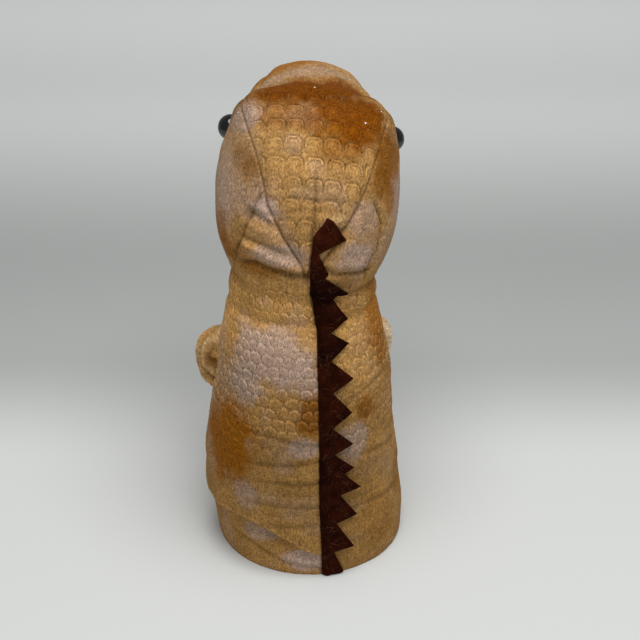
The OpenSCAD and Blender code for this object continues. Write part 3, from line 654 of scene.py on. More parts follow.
# Seams: places up the head, and angles from the crown there
crown_from = [6, 7, 8, 9, 10, 11, 12]
crown_far = [43, 40, 38, 38, 40, 42, 42]
crown_left = np.interp(head_s, [0.3, 0.76, 1.51, 2.11, 3.24, 4.65, 5] + crown_from,
                       [-2, 1.4, 15.9, 24.1, 31.5, 45.5, 45] + crown_far)
crown_right = np.interp(head_s, [0.2, 0.97, 2.04, 2.68, 3.6, 4.65, 5] + crown_from,
                        [3, 11.4, 25.9, 33, 38.5, 45, 45] + crown_far)
nape_left = np.interp(head_s, [0, 1.74, 2.42], [68, 39, 25.5])
nape_right = np.interp(head_s, [0, 0.87, 1.19, 1.9, 2.45], [52, 48.5, 54, 52, 36])
nape_middle = np.interp(head_s, [1.7, 2.85], [-2.5, -0.5])


def along(angles):
    """Places of a seam across each row of the head, in mm from the middle of the crown."""
    return np.array([np.sign(a) * np.interp(abs(a), dense, w) for a, w in zip(angles, ways)])[:, None]


def way_to(s):
    """Way up the head's cloth to a place on it, in mm."""
    return np.interp(s, places, way_up)


def lumps(p):
    """Unevenness of the head's filling."""
    return 0.8 * drift(p, 26, 51) + 0.3 * drift(p, 11, 52)


def plates(u, v, wide, high, seed):
    """Rows of rounded oblong scales: distance out from the middle of the scale, and height in it."""
    r = np.floor(v / high).astype(np.int64)
    shift = 0.25 * (lattice(r, 0 * r, 5, seed) - 0.5)
    c = np.floor(u / wide + 0.5 + shift).astype(np.int64)
    dx = (u / wide + shift - c) * 2 + 0.22 * (lattice(c, r, 6, seed) - 0.5)
    dy = (v / high - r - 0.5) * 2 + 0.22 * (lattice(c, r, 7, seed) - 0.5)
    size = 0.86 + 0.12 * lattice(c, r, 8, seed)
    return (np.abs(dx) ** 3 + np.abs(dy) ** 3) ** (1 / 3) / size, dy


SWELL_SCALE = 20
SWELL_FRAMES = 20


def swollen(grid, sewn, closed, pressure, most):
    """Cloth simulation of a stuffed cover: how far the filling moves each point of its grid, in mm.
    Sewn points are held; the cloth is worked on enlarged, so that its weight suits its size."""
    rows, cols = grid.shape[:2]
    big = (grid * MM * SWELL_SCALE).reshape(-1, 3)
    mesh = bpy.data.meshes.new("swelling")
    mesh.from_pydata(big.tolist(), [], quads(rows, cols, closed))
    cover = stood("swelling", mesh)
    held = cover.vertex_groups.new(name="sewn")
    held.add(np.flatnonzero(sewn.ravel()).tolist(), 1.0, "REPLACE")
    worker = cover.modifiers.new("filling", "CLOTH")
    cloth = worker.settings
    cloth.quality = 6
    cloth.bending_stiffness = 0.4
    cloth.use_pressure = True
    cloth.uniform_pressure_force = pressure
    cloth.vertex_group_mass = "sewn"
    cloth.effector_weights.gravity = 0
    worker.collision_settings.use_collision = False
    worker.point_cache.frame_start, worker.point_cache.frame_end = 1, SWELL_FRAMES
    for f in range(1, SWELL_FRAMES + 1):
        bpy.context.scene.frame_set(f)
    shaped = cover.evaluated_get(bpy.context.evaluated_depsgraph_get())
    co = np.zeros(len(mesh.vertices) * 3, np.float32)
    shaped.data.vertices.foreach_get("co", co)
    moved = (co.reshape(-1, 3) - big) / MM / SWELL_SCALE
    far = np.linalg.norm(moved, axis=1, keepdims=True)
    moved = moved * np.minimum(1, most / np.maximum(far, 1e-9))
    bpy.context.scene.frame_set(1)
    bpy.data.objects.remove(cover)
    bpy.data.meshes.remove(mesh)
    return moved.reshape(grid.shape)


def refined(coarse, rows, cols, closed=False):
    """Carries values from a coarse grid to a fine one that shares its edges."""
    if closed:
        coarse = np.concatenate([coarse, coarse[:, :1]], 1)
    i = np.linspace(0, coarse.shape[0] - 1, rows)
    j = np.linspace(0, coarse.shape[1] - 1, cols + 1 if closed else cols)[:cols]
    i0 = np.minimum(i.astype(int), coarse.shape[0] - 2)
    j0 = np.minimum(j.astype(int), coarse.shape[1] - 2)
    x, y = (i - i0)[:, None, None], (j - j0)[None, :, None]
    x, y = x * x * (3 - 2 * x), y * y * (3 - 2 * y)
    a, b = coarse[i0][:, j0], coarse[i0][:, j0 + 1]
    c, d = coarse[i0 + 1][:, j0], coarse[i0 + 1][:, j0 + 1]
    return a * (1 - x) * (1 - y) + b * (1 - x) * y + c * x * (1 - y) + d * x * y


ring_levels = np.concatenate([[COLLAR - ROW], np.linspace(COLLAR, NECK_TOP, 41)])
ring, ring_uv, ring_paint = skin_ring(ring_levels)
s_grid, v_grid = head_s[:, None] * np.ones(WIDE), head_v[:, None] * np.ones(WIDE)
patch = on_head(head_point(s_grid, head_a))
patch_out = sloped(np.concatenate([tube(ring_levels[:-1, None], columns[None, :WIDE]), patch]), False)
patch_out = patch_out[len(ring_levels) - 1:]
rim_out = folds(np.full(WIDE, NECK_TOP), columns[:WIDE], patch[0])
relief, seam_dark = lumps(patch), np.zeros(patch.shape[:2])
left_d, right_d = head_w - along(crown_left), head_w + along(crown_right)
nape_d = [head_w - along(nape_left), head_w + along(nape_right)]
crown_open, nape_open = step(s_grid, 0.15, 0.7), 1 - step(s_grid, 2.30, 2.45)
middle_open = (1 - step(s_grid, 2.55, 2.95)) * step(s_grid, 0.1, 0.4)
# Way from each seam, where it runs, depth and half width of its groove, then height, place and
# half width of the swell beside it, and the half width of its dark line
for d, runs, depth, groove, high, beside, wide, line in (
        (left_d, crown_open, 1.4, 0.95, 0.8, 6.5, 5, 0.65),
        (right_d, crown_open, 1.4, 0.95, 0.8, 6.5, 5, 0.65),
        (nape_d[0], nape_open, 1.2, 1.1, 0.7, 6, 5, 0.8),
        (nape_d[1], nape_open, 1.2, 1.1, 0.7, 6, 5, 0.8),
        (head_w - along(nape_middle), middle_open, 1.2, 0.9, 0.35, 4, 3, 0.7)):
    relief = relief - runs * depth * hump(d, groove) + high * runs * hump(np.abs(d) - beside, wide)
    seam_dark = np.maximum(seam_dark, runs * hump(d, line))
# The filling presses the panels out between their seams, the lips and the neck
SEAM_HELD, HEAD_STEP = 2.6, 5
sewn = seam_dark > 0.05
for d in (left_d, right_d):
    sewn |= (np.abs(d) < SEAM_HELD) & (s_grid > 0.4)
for d in nape_d:
    sewn |= (np.abs(d) < SEAM_HELD) & (s_grid < 2.4)
sewn[:3], sewn[-6:], sewn[:, :6], sewn[:, -6:] = True, True, True, True
swell = swollen(patch[::HEAD_STEP, ::HEAD_STEP], sewn[::HEAD_STEP, ::HEAD_STEP], False, 7.0, 3.2)
swell = (refined(swell, HEAD_ROWS + 1, WIDE) * patch_out).sum(-1)
relief = relief + swell - 0.5 * swell.mean()
# The muzzle sinks in a soft band behind the brow, the eyes pull the cheeks in, and the nostrils
# are pressed in and painted dark
relief = relief - 1.6 * hump(v_grid - way_to(5.75), 4.5) * step(s_grid, 4.6, 5.2)
nostril_dark = np.zeros(patch.shape[:2])
for side in (1, -1):
    far = np.linalg.norm(patch - on_head(np.array([side * 45.5, -30.4, 67.5])), axis=-1)
    relief = relief - 1.5 * hump(far, 8.5) + 0.5 * hump(far - 13, 4)
    q = (patch - on_head(np.array([side * 13.5, -103.0, 66.0]))) @ head_axes
    q[..., 2] -= 0.3 * side * q[..., 0]
    r = np.linalg.norm(q / np.array([3.6, 9, 2.0]), axis=-1)
    relief = relief - 1.8 * hump(r, 1.0) + 0.6 * hump(r - 2, 0.8)
    nostril_dark = np.maximum(nostril_dark, hump(r, 0.85))
# Wrinkles of the crown's lower rows and of the nape, and thin creases along the brow: place up the
# head, slant, middle and half length across it, depth
wrinkles = [(2.44, 0.0, 2, 24, 0.45), (2.2, 0.03, 0, 24, 0.5), (1.95, -0.03, 2, 22, 0.5),
            (4.72, 0.0, -4, 34, 0.6), (5.05, 0.02, -10, 30, 0.5)]
for at, slant, middle, half, depth in wrinkles:
    x = v_grid - way_to(at) - slant * (head_w - middle) + 3.4 * drift(patch, 9, 56)
    relief = relief + depth * hump(head_w - middle, half) * (0.6 * hump(x - 3, 2.2) - hump(x, 1.1))
# Folds of the nape: across and up the cloth, half width, and height or depth
nape_folds = [((19, 26, 33), (37, 41, 43.5), 1.7, -1.3), ((21, 27, 34), (41.5, 45.5, 48), 2.6, 0.9),
              ((11, 21, 27, 39), (23, 26, 27.5, 29.5), 1.7, -1.3),
              ((0, 8, 20, 29, 36), (15, 17, 20.5, 24, 25), 2.8, 1.9),
              ((-3, 17, 29, 40), (11.5, 13, 15, 12.5), 2.3, -2.4), ((24, 30, 37), (34, 35.5, 37.5), 2.4, 0.8),
              ((-40, -30, -20, -11), (12.4, 12, 12.6, 14.7), 1.8, -1.8),
              ((-38, -28, -16), (18, 17.5, 18.5), 3.0, 0.9),
              ((-22, -16, -8), (38, 36, 37), 1.4, -0.8), ((-24, -16, -8), (43, 41, 42), 2.4, 0.8)]
deepest = max(-high for across, up, wide, high in nape_folds)
# painted shadow in the creases of the nape, deepest in the deepest one
shadow = np.zeros(patch.shape[:2])
for across, up, wide, high in nape_folds:
    x = v_grid - np.interp(head_w, across, up) + 0.9 * drift(patch, 12, 57)
    ends = step(head_w, across[0] - 5, across[0] + 3) * (1 - step(head_w, across[-1] - 3, across[-1] + 5))
    relief = relief + high * ends * hump(x, wide)
    shadow = np.maximum(shadow, -high / deepest * ends * hump(x, wide))
# Scales: bold oblong ones on the crown, faint pebbles elsewhere
on_crown = step(-left_d, 0.5, 3) * step(right_d, 0.5, 3) * (1 - step(s_grid, 4.7, 5.2))
reach, dy = plates(head_w, v_grid - way_to(1.5) + 2, 10.9, 10.4, 61)
inside, side, top = pebbles(head_w, v_grid, 8.2, 7.0, 62)
bold = on_crown * (0.65 + 0.35 * step(drift(patch, 20, 63), -0.4, 0.4))
faint = (1 - on_crown) * 0.4 * (0.5 + 0.5 * step(drift(patch, 22, 64), -0.4, 0.4))
outer, inner = hump(reach - 1.0, 0.10), hump(reach - 0.66, 0.07)
relief = relief + bold * (0.35 * (1 - np.minimum(reach, 1) ** 2) - 0.4 * outer - 0.18 * inner)
relief = relief + 0.35 * faint * (step(inside, 0, 0.4) - 0.6)
near_rim = 1 - step(v_grid, 0, 12)
relief = mix(relief, rim_out, near_rim)
patch_points = patch + toned(patch_out, relief)
paint = toned(np.broadcast_to(TAN, patch.shape), mottled(patch, (0.12, 22, 71), (0.13, 9, 72), (0.08, 4.5, 74)))
cheek = step(np.abs(head_a), 50, 75) * (1 - step(s_grid, 5.0, 6.5))
clouds = 0.3 * step(drift(patch, 26, 73), 0.3, 0.8) + 0.22 * step(drift(patch, 11, 75), 0.0, 0.6)
paint = tinted(paint, LILAC, 0.30 * cheek + clouds)
jowl = step(np.abs(head_a), 98, 118) * step(s_grid, 5.2, 6.4)
paint = sprayed(patch, tinted(paint, CREAM, 0.7 * jowl))
# painted shade on the cheek beside each crown seam, partly the airbrush's own darker tone
for d in (left_d, -right_d):
    beside = step(d, 0.3, 1.5) * np.exp(-np.maximum(d, 0) / 9)
    paint = toned(paint, 1 - 0.5 * beside * step(s_grid, 1.8, 2.6) * (1 - step(s_grid, 5, 6)))
# painted shade in the crown plates' outlines and painted highlights on their raised middles and upper rims; the
# faint pebbles elsewhere get painted highlights and shade as well
arch = 0.4 + 0.6 * step(dy, -0.4, 0.6)
paint = toned(paint, 1 - bold * arch * (0.58 * outer + 0.42 * inner))
plate_highlight = 0.46 * hump(reach - 0.83, 0.10) * arch + 0.18 * (1 - step(reach, 0.2, 0.6))
paint = toned(paint, 1 + bold * plate_highlight)
paint = toned(scale_light_and_shade(paint, inside, side, top, 0.8 * faint), 1 - 0.10 * on_crown)
paint = toned(paint, (1 - 0.40 * seam_dark - 0.8 * nostril_dark) * (1 - 0.35 * shadow))
# the brow and the band behind it are rubbed darker
paint = toned(paint, 1 - 0.28 * step(s_grid, 4.3, 4.9) * (1 - step(s_grid, 6.4, 7.4)))
paint = tinted(paint, ring_paint[-1, :WIDE], near_rim)
patch_uv = np.stack([head_w, NECK_TOP + v_grid], -1)
patch_points[0], paint[0], patch_uv[0] = ring[-1, :WIDE], ring_paint[-1, :WIDE], ring_uv[-1, :WIDE]
# Directions: the tube's from its own grid, the head's from the tube and head taken together
ring_dir = sloped(ring, True)
both_dir = sloped(np.concatenate([ring[:-1, :WIDE], patch_points]), False)
ring_dir[-1, :WIDE] = both_dir[len(ring) - 1]
patch_dir = both_dir[len(ring):]
ring, ring_uv, ring_paint, ring_dir = ring[1:], ring_uv[1:], ring_paint[1:], ring_dir[1:]
points = [ring.reshape(-1, 3), patch_points[1:].reshape(-1, 3)]
dirs = [ring_dir.reshape(-1, 3), patch_dir.reshape(-1, 3)]
paints = [ring_paint.reshape(-1, 3), paint[1:].reshape(-1, 3)]
uvs = [ring_uv.reshape(-1, 2), patch_uv[1:].reshape(-1, 2)]
around = ring.shape[1]
rim_ids = (len(ring) - 1) * around + np.arange(around)
index = np.concatenate([rim_ids[None, :WIDE],
                        ring.size // 3 + np.arange(HEAD_ROWS * WIDE).reshape(HEAD_ROWS, WIDE)])
faces = quads(len(ring), around, True)
faces += np.stack([index[:-1, :-1], index[1:, :-1], index[1:, 1:], index[:-1, 1:]], -1).reshape(-1, 4).tolist()


def fold_under(ids, edge, inward, uv_edge, paint_edge, flip):
    """Rolls an edge of the cover under by three rows, adds them to the cover and returns the last."""
    row, run = edge, np.gradient(edge, axis=0)
    drop = unit(np.cross(inward, run))
    drop = drop * np.where(drop[:, 2:] > 0, -1, 1)
    for go, down in ((0.9, 0.55), (2.0, 0.5), (3.0, -0.5)):
        before, row = row, edge + inward * go + drop * down
        last, ids = ids, sum(len(p) for p in points) + np.arange(len(edge))
        points.append(row)
        dirs.append(unit(np.cross(run, row - before)) * (-1 if flip else 1))
        uvs.append(uv_edge + np.array([go, 0]))
        # the rolled rows are painted darker, as painted shade under the edge
        paints.append(paint_edge * 0.85)
        band = np.stack([last[:-1], last[1:], ids[1:], ids[:-1]], -1).tolist()
        faces.extend(turned_over(band) if flip else band)
    return row


lips = []
for col, sign in ((0, 1), (WIDE - 1, -1)):
    inward = np.tile(head_axes[:, 0] * sign, (len(patch_points), 1))
    lips.append(fold_under(index[:, col], patch_points[:, col], inward, patch_uv[:, col], paint[:, col],
                           sign > 0))
throat = np.concatenate([np.arange(WIDE - 1, around), [0]])
inward = unit(np.array([NECK_X, 0, 0]) - ring[-1, throat] * np.array([1, 1, 0]))
throat_rim = fold_under(rim_ids[throat], ring[-1, throat], inward, ring_uv[-1, throat],
                        ring_paint[-1, throat], True)
# The last row is closed over the tip of the snout
tip = sum(len(p) for p in points)
faces += [[index[-1, j], tip, index[-1, (j + 1) % WIDE]] for j in range(WIDE)]
points.append(patch_points[-1].mean(0)[None, :] - 0.4 * head_axes[:, 1])
dirs.append(-head_axes[None, :, 1])
uvs.append(patch_uv[-1, HALF][None, :])
paints.append(paint[-1, HALF][None, :])
head_cover = piece("velour_head", np.concatenate(points), faces, velour, np.concatenate(uvs),
                   np.concatenate(paints), np.concatenate(dirs))
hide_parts("neck_cloth", "crown_panel", "left_cheek_panel", "right_cheek_panel",
            "left_nape_panel", "right_nape_panel", "head_stuffing")
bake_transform(head_cover)

# Spike strip: dark brown felt, cut in a zigzag and caught in the back seam, lying over to the
# right from the hem to the back of the head. It is cut at the collar as the velour is.
FELT_THICK, FELT_LOW, FELT_HIGH, FELT_ROW, ACROSS = 1.5, 1, 227, 0.8, 14
# Zigzag: way up the cloth and reach from the seam, in mm; past the neck it runs on the head
zigzag = np.array([
    [1, 12], [2, 13], [18, 7], [20, 19], [38, 9], [41, 22], [57, 12], [59, 25], [71, 14], [74, 20],
    [85, 8], [89, 20], [102, 7], [109, 19], [123, 8], [129, 20], [142, 7], [150, 17], [158, 7],
    [164, 18], [179, 12], [185, 20], [195, 7], [198, 9], [209, 3], [217, 15], [226, 3], [227, 1]], float)
felt_rows = np.concatenate([zigzag[:, 0], np.arange(FELT_LOW, FELT_HIGH, FELT_ROW), [COLLAR]])
felt_rows = np.unique(np.round(felt_rows, 2))
# Matted fibres, for everything cut from felt
matted, given = effect("matted_fibres", "ShaderNodeTree",
                       {"Vector": "Vector", "Fibre Scale": 900.0, "Contrast": 0.5},
                       {"Shade": "Float", "Height": "Float"})
cloud = node(matted, "ShaderNodeTexNoise", {"Vector": (given, "Vector"), "Scale": 160, "Detail": 3})
threads = node(matted, "ShaderNodeTexNoise", {"Vector": (given, "Vector"), "Scale": (given, "Fibre Scale"),
                                              "Detail": 3, "Distortion": 1.4}, noise_type="RIDGED_MULTIFRACTAL")
swing(matted, given, sums(matted, "ADD", (sums(matted, "MULTIPLY", (threads, 0), 0.45), 0),
                          (sums(matted, "MULTIPLY", (cloud, 0), 0.55), 0)))


def felt_finish(name, colour, contrast, light_tinted=False, sheen=0.15):
    """Felt in one colour, which can be shaded by its piece's tint of painted light and shade."""
    return textile(name, matted, 0.6, 0.0005, colour, light_tinted, {"Contrast": contrast},
                   rough=0.95, sheen=sheen, sheen_tint=tuple(np.minimum(colour * 3 + 0.1, 1)))


def skin_spot(v, a):
    """Point of the skin without its scales, and its outward direction, at a way up the cloth."""
    v, a = np.broadcast_arrays(np.asarray(v, float), np.asarray(a, float))
    level = np.minimum(v, NECK_TOP)
    on_tube, out_tube = tube(level, a), tube_out(level, a)
    on_tube = on_tube + toned(out_tube, folds(level, a, on_tube))
    s = np.interp(np.maximum(v - NECK_TOP, 0), way_up, places)
    bare = on_head(head_point(s, a))
    rise = on_head(head_point(s + 0.02, a)) - on_head(head_point(np.maximum(s - 0.02, 0), a))
    out_head = unit(np.cross(rise, on_head(head_point(s, a + 0.5)) - on_head(head_point(s, a - 0.5))))
    bare = bare + toned(out_head, lumps(bare))
    share = step(v, NECK_TOP - 4, NECK_TOP + 8)[..., None]
    return np.where((v > NECK_TOP)[..., None], bare, on_tube), unit(mix(out_tube, out_head, share))


def slab(rows, cols):
    """Faces of a closed slab between two grids of points, the first of which is its outer side where
    its rows rise and its columns turn to the left."""
    size = rows * cols
    faces = quads(rows, cols) + turned_over(quads(rows, cols, False, size))
    i, j = np.arange(rows - 1), np.arange(cols - 1)
    for a, b in ((i * cols, (i + 1) * cols), ((i + 2) * cols - 1, (i + 1) * cols - 1),
                 (j + 1, j), ((rows - 1) * cols + j, (rows - 1) * cols + j + 1)):
        faces += np.stack([a + size, b + size, b, a], -1).tolist()
    return faces


def felt_strip(name, low, high):
    """The strip between two heights, as a closed slab of felt with a rolled root."""
    v = felt_rows[(felt_rows >= low - 1e-6) & (felt_rows <= high + 1e-6)]
    vv, ww = np.meshgrid(v, np.linspace(0, 1, ACROSS + 1), indexing="ij")
    far = ww * np.interp(v, zigzag[:, 0], zigzag[:, 1])[:, None]
    radius = np.interp(v, [0, 60, 118, 160, 184, 226], [58, 57, 50, 41, 40, 43])[:, None]
    root = np.where(v < NECK_TOP, back_seam(np.minimum(v, NECK_TOP)),
                    HEAD_SEAM - 2.7 * (1 - step(v, NECK_TOP, 202)))
    root = root - 5.5 * step(v, 216, 227)
    root = (root + np.interp(v, [0, 140, 175], [1.4, 1.4, 0]))[:, None]
    spot, out = skin_spot(vv, root - far / radius / DEG)
    key = np.stack([vv, far, 0 * vv], -1)
    curl = 0.030 + 0.025 * drift(key, 17, 81)
    lift = 0.6 + hump(far - 2.4, 1.9) + np.maximum(far - 5, 0) ** 1.4 * curl
    lift = lift + 0.35 * drift(key, 9, 82) * step(far, 1, 6)
    lift = np.maximum(lift, 0.35) - hump(far, 0.8)
    under = spot + toned(out, lift)
    over = spot + toned(out, lift + FELT_THICK - 0.25 * step(ww, 0.9, 1.0))
    coords = np.stack([far, vv], -1)
    # painted light and shade over the felt's own random tone: painted highlights at both ends of the strip,
    # painted shade where it is tucked into the neck's fold and at two places lower down
    felt_light_and_tone = 1 + 0.70 * hump(vv - 216, 10) + 0.45 * hump(vv - 9, 11) + 0.20 * drift(key, 12, 83)
    felt_light_and_tone = felt_light_and_tone - 0.65 * hump(vv - 184, 6) - 0.32 * hump(vv - 149, 7) - 0.25 * hump(vv - 73, 7)
    felt_light_and_tone = toned(np.ones(3), felt_light_and_tone)
    # columns run to the right here, so the under side comes first
    made = piece(name, np.concatenate([under, over]), slab(*vv.shape), felt,
                 np.concatenate([coords, coords]), np.concatenate([felt_light_and_tone, felt_light_and_tone]))
    made.data.set_sharp_from_angle(angle=0.7)
    return made, over, out


# the strip's felt takes painted light and shade from its tint
felt = felt_finish("brown_felt", linear(54, 18, 5), 1.1, True, sheen=0.03)
back_felt, back_over, back_out = felt_strip("felt_back_spikes", FELT_LOW, COLLAR)
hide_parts("back_spikes")
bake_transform(back_felt)
nape_felt, nape_over, nape_out = felt_strip("felt_nape_spikes", COLLAR, FELT_HIGH)
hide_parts("neck_spike", "head_spikes")
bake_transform(nape_felt)

# Eyes: domed safety eyes of glossy black plastic on a ribbed shank, pushed through the cheek
# and locked behind the cloth by a washer. The moulded shapes are the part's own solids.
eye_black, tree, shader = finish_of("eye_plastic", linear(9, 9, 11), rough=0.1, coat=0.4, gloss=0.5)
where = node(tree, "ShaderNodeTexCoord")
smear = node(tree, "ShaderNodeTexNoise", {"Vector": (where, "Object"), "Scale": 220, "Detail": 4})
polish = node(tree, "ShaderNodeMapRange", {"Value": (smear, 0), "From Min": 0.35, "From Max": 0.75,
                                           "To Min": 0.05, "To Max": 0.2})
feed(tree, shader, {"Roughness": (polish, 0)})


def covered(finish, *names):
    """Gives solids of the part this finish."""
    for name in names:
        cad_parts[name].data.materials.clear()
        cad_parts[name].data.materials.append(finish)


covered(eye_black, "left_eye", "right_eye", "left_eye_washer", "right_eye_washer")

# Mouth: a stiff palate and a stiff mouth floor covered in soft red cloth, joined at the back
# by a loose fold of the same cloth, and a felt tongue sewn on it.
weave, given = effect("plain_weave", "ShaderNodeTree", {"Vector": "Vector", "Threads": 1500.0},
                      {"Shade": "Float", "Height": "Float"})
waves = []
for axis in ((1, 0.12, 0.3), (0.12, 1, -0.3)):
    dot = node(weave, "ShaderNodeVectorMath", {0: (given, "Vector"), 1: axis}, operation="DOT_PRODUCT")
    waves.append(sums(weave, "SINE", (sums(weave, "MULTIPLY", (dot, "Value"), (given, "Threads")), 0)))
crossed = sums(weave, "MULTIPLY", (waves[0], 0), (waves[1], 0))
slub = node(weave, "ShaderNodeTexNoise", {"Vector": (given, "Vector"), "Scale": 300, "Detail": 3})
tone = sums(weave, "MULTIPLY_ADD", (crossed, 0), 0.07, (sums(weave, "MULTIPLY_ADD", (slub, 0), 0.5, 1.25), 0))
node(weave, "NodeGroupOutput", {"Shade": (tone, 0), "Height": (crossed, 0)})


def woven_finish(name, colour, threads=1500.0):
    """Plain woven cloth in one colour."""
    return textile(name, weave, 0.5, 0.0003, colour, values={"Threads": threads}, rough=0.85, sheen=0.15)


mouth_red = woven_finish("mouth_cloth", linear(158, 70, 62))
covered(mouth_red, "upper_mouth_plate", "lower_mouth_plate")
PALATE, FLOOR, FOLD_BACK, FOLD_HALF, FOLD_GAP = 28.2, 24.2, 37.0, 25.5, 0.8
u, w = np.meshgrid(np.linspace(0, 1, 41), np.linspace(-1, 1, 61), indexing="ij")
belly = np.sin(np.pi * u)
fold = np.stack([FOLD_HALF * w * (1 - 0.06 * belly),
                 -(FOLD_BACK - 6.3 * belly + 0.8 * u) + 0.5 * np.sin(7 * w + 3 * u) * belly,
                 mix(PALATE - 0.3, FLOOR + 0.6, u)], -1)
fold_faces = quads(*u.shape) + turned_over(quads(*u.shape, False, u.size))
fold = np.concatenate([fold, fold + np.array([0, FOLD_GAP, 0])])
mouth_fold = piece("mouth_fold_cloth", on_head(fold), fold_faces, mouth_red)
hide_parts("mouth_fold")
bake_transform(mouth_fold)
tongue_pink = felt_finish("tongue_felt", linear(196, 96, 92), 0.5)
TONGUE_L, TONGUE_HALF, TONGUE_ROOT, TIP_FROM = 50.0, 14.2, 39.0, 0.7
u, w = np.meshgrid(np.linspace(0, 1, 60), np.linspace(-1, 1, 41), indexing="ij")
rounding = np.sqrt(np.maximum(1 - ((u - TIP_FROM) / (1 - TIP_FROM)) ** 2, 0.0004))
half = TONGUE_HALF * np.where(u < TIP_FROM, 1 - 0.10 * hump(u - 0.25, 0.25), rounding)
rise = 2.0 + 0.7 * np.abs(w) ** 0.8 * (1 - u) - 0.9 * hump(w, 0.10) * (1 - step(u, 0.75, 0.95))
rise = rise * np.sqrt(np.maximum(1 - np.abs(w) ** 6, 0.02)) + 0.88 * u ** 2
both_sides = [np.stack([half * w, -(TONGUE_ROOT + TONGUE_L * u), FLOOR + high], -1)
              for high in (rise, 0.25 + 0.8 * u ** 2)]
tongue = piece("felt_tongue", on_head(np.concatenate(both_sides)), slab(*u.shape), tongue_pink)
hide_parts("tongue")
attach(tongue, "jaw")

# Teeth: a row of small pointed felt teeth caught in the seam of each lip. A tree of nodes sets
# the tooth out on points along the lip, each turned to follow it.


def set_out(name, kind, **form):
    """Node tree that puts one small shape on every point, turned and sized by the point. The shape is
    a kind of mesh with its form, or a maker of it in the tree."""
    tree, given = effect(name, "GeometryNodeTree",
                         {"Geometry": "Geometry", "Length": 1.0, "Width": 1.0, "Thickness": 1.0,
                          "Finish": "Material"}, {"Geometry": "Geometry"})
    form = {key.replace("_", " "): value for key, value in form.items()}
    made = kind(tree) if callable(kind) else node(tree, kind, form)
    size = node(tree, "ShaderNodeCombineXYZ",
                {"X": (given, "Width"), "Y": (given, "Thickness"), "Z": (given, "Length")})
    sized = node(tree, "GeometryNodeTransform", {"Geometry": (made, 0), "Scale": (size, 0)})
    turn = node(tree, "GeometryNodeInputNamedAttribute", {"Name": "turn"}, data_type="FLOAT_VECTOR")
    as_turn = node(tree, "FunctionNodeEulerToRotation", {0: (turn, "Attribute")})
    grow = node(tree, "GeometryNodeInputNamedAttribute", {"Name": "grow"}, data_type="FLOAT")
    place = node(tree, "GeometryNodeInstanceOnPoints",
                 {"Points": (given, "Geometry"), "Instance": (sized, 0), "Rotation": (as_turn, 0),
                  "Scale": (grow, "Attribute")})
    real = node(tree, "GeometryNodeRealizeInstances", {0: (place, 0)})
    painted = node(tree, "GeometryNodeSetMaterial", {"Geometry": (real, 0), "Material": (given, "Finish")})
    node(tree, "NodeGroupOutput", {0: (painted, 0)})
    return tree


def laid_out(name, tree, spots, turns, grow, finish, length, width, thickness):
    """Runs a setting-out tree on points in mm, and keeps the result as one plain mesh."""
    base = bpy.data.meshes.new(name + "_points")
    base.from_pydata((np.asarray(spots) * MM).tolist(), [], [])
    turn = base.attributes.new("turn", "FLOAT_VECTOR", "POINT")
    turn.data.foreach_set("vector", np.asarray(turns, np.float32).ravel())
    size = base.attributes.new("grow", "FLOAT", "POINT")
    size.data.foreach_set("value", np.asarray(grow, np.float32).ravel())
    made = stood(name, base)
    worker = made.modifiers.new("set_out", "NODES")
    worker.node_group = tree
    names = {i.name: i.identifier for i in tree.interface.items_tree if i.in_out == "INPUT"}
    for key, value in (("Length", length * MM), ("Width", width * MM), ("Thickness", thickness * MM)):
        worker[names[key]] = value
    worker[names["Finish"]] = finish
    depsgraph = bpy.context.evaluated_depsgraph_get()
    result = bpy.data.meshes.new_from_object(made.evaluated_get(depsgraph))
    made.modifiers.remove(worker)
    made.data = result
    bpy.data.meshes.remove(base)
    result.name = name
    return made


def turned(x_axis, z_axis):
    """Euler turns that lay a shape's X along one line and its Z along another."""
    found = []
    for x, z in zip(unit(x_axis), unit(z_axis)):
        y = np.cross(z, x)
        y = y / np.linalg.norm(y)
        found.append(list(Matrix(np.stack([np.cross(y, z), y, z], 1).tolist()).to_euler()))
    return np.array(found)


def lip_rows(left):
    """A row along the left lip and its mirror along the right one, in place, and the way they run."""
    rows = [left * np.array([side, 1, 1]) for side in (1, -1)]
    run = np.concatenate([np.gradient(p, axis=0) for p in rows])
    return on_head(np.concatenate(rows)), run @ head_axes.T


def tooth_row(name, left, facing, seed, *size):
    """Teeth on a row along the left lip and its mirror, pointing up or down."""
    spots, run = lip_rows(left)
    i = np.arange(len(spots))
    return laid_out(name, tooth_tree, spots, turned(run, np.tile(facing * head_axes[:, 2], (len(run), 1))),
                    0.92 + 0.16 * lattice(i, 0 * i, 1, seed), tooth_white, *size)


tooth_white = felt_finish("tooth_felt", linear(232, 224, 204), 0.18)
tooth_tree = set_out("teeth_along_a_lip", "GeometryNodeMeshCone", Vertices=12, Side_Segments=4,
                     Radius_Top=0.07, Radius_Bottom=0.5, Depth=1.0)
TOOTH_IN = 2.6
s = np.arange(5.9, 11.4, 0.42)
gum = head_point(s, np.full(len(s), LIP)) - np.array([TOOTH_IN, 0, 0])
gum[:, 1] += 1.5 * (s > 9.5)
gum[:, 2] = PALATE - 0.1
upper_teeth = tooth_row("felt_upper_teeth", gum, -1, 91, 6.6, 5.2, 1.7)
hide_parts("upper_teeth")
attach(upper_teeth, "head")
# Jaw: rows of forward place, half width, depth, and the share that the room for the thumb takes, as
# in the part's own solids
JAW_TOP = 22.5
jaw_rows = np.array([
    [18, 29.925, 16, 0.72], [34.05, 31.5, 20, 0.72], [54.975, 31.03, 19.5, 0.7], [73.875, 27.4, 17, 0.66],
    [88.05, 19.85, 12.4, 0.5], [94.8, 11.03, 8, 0.35], [97.5, 5, 4, 0.3]])


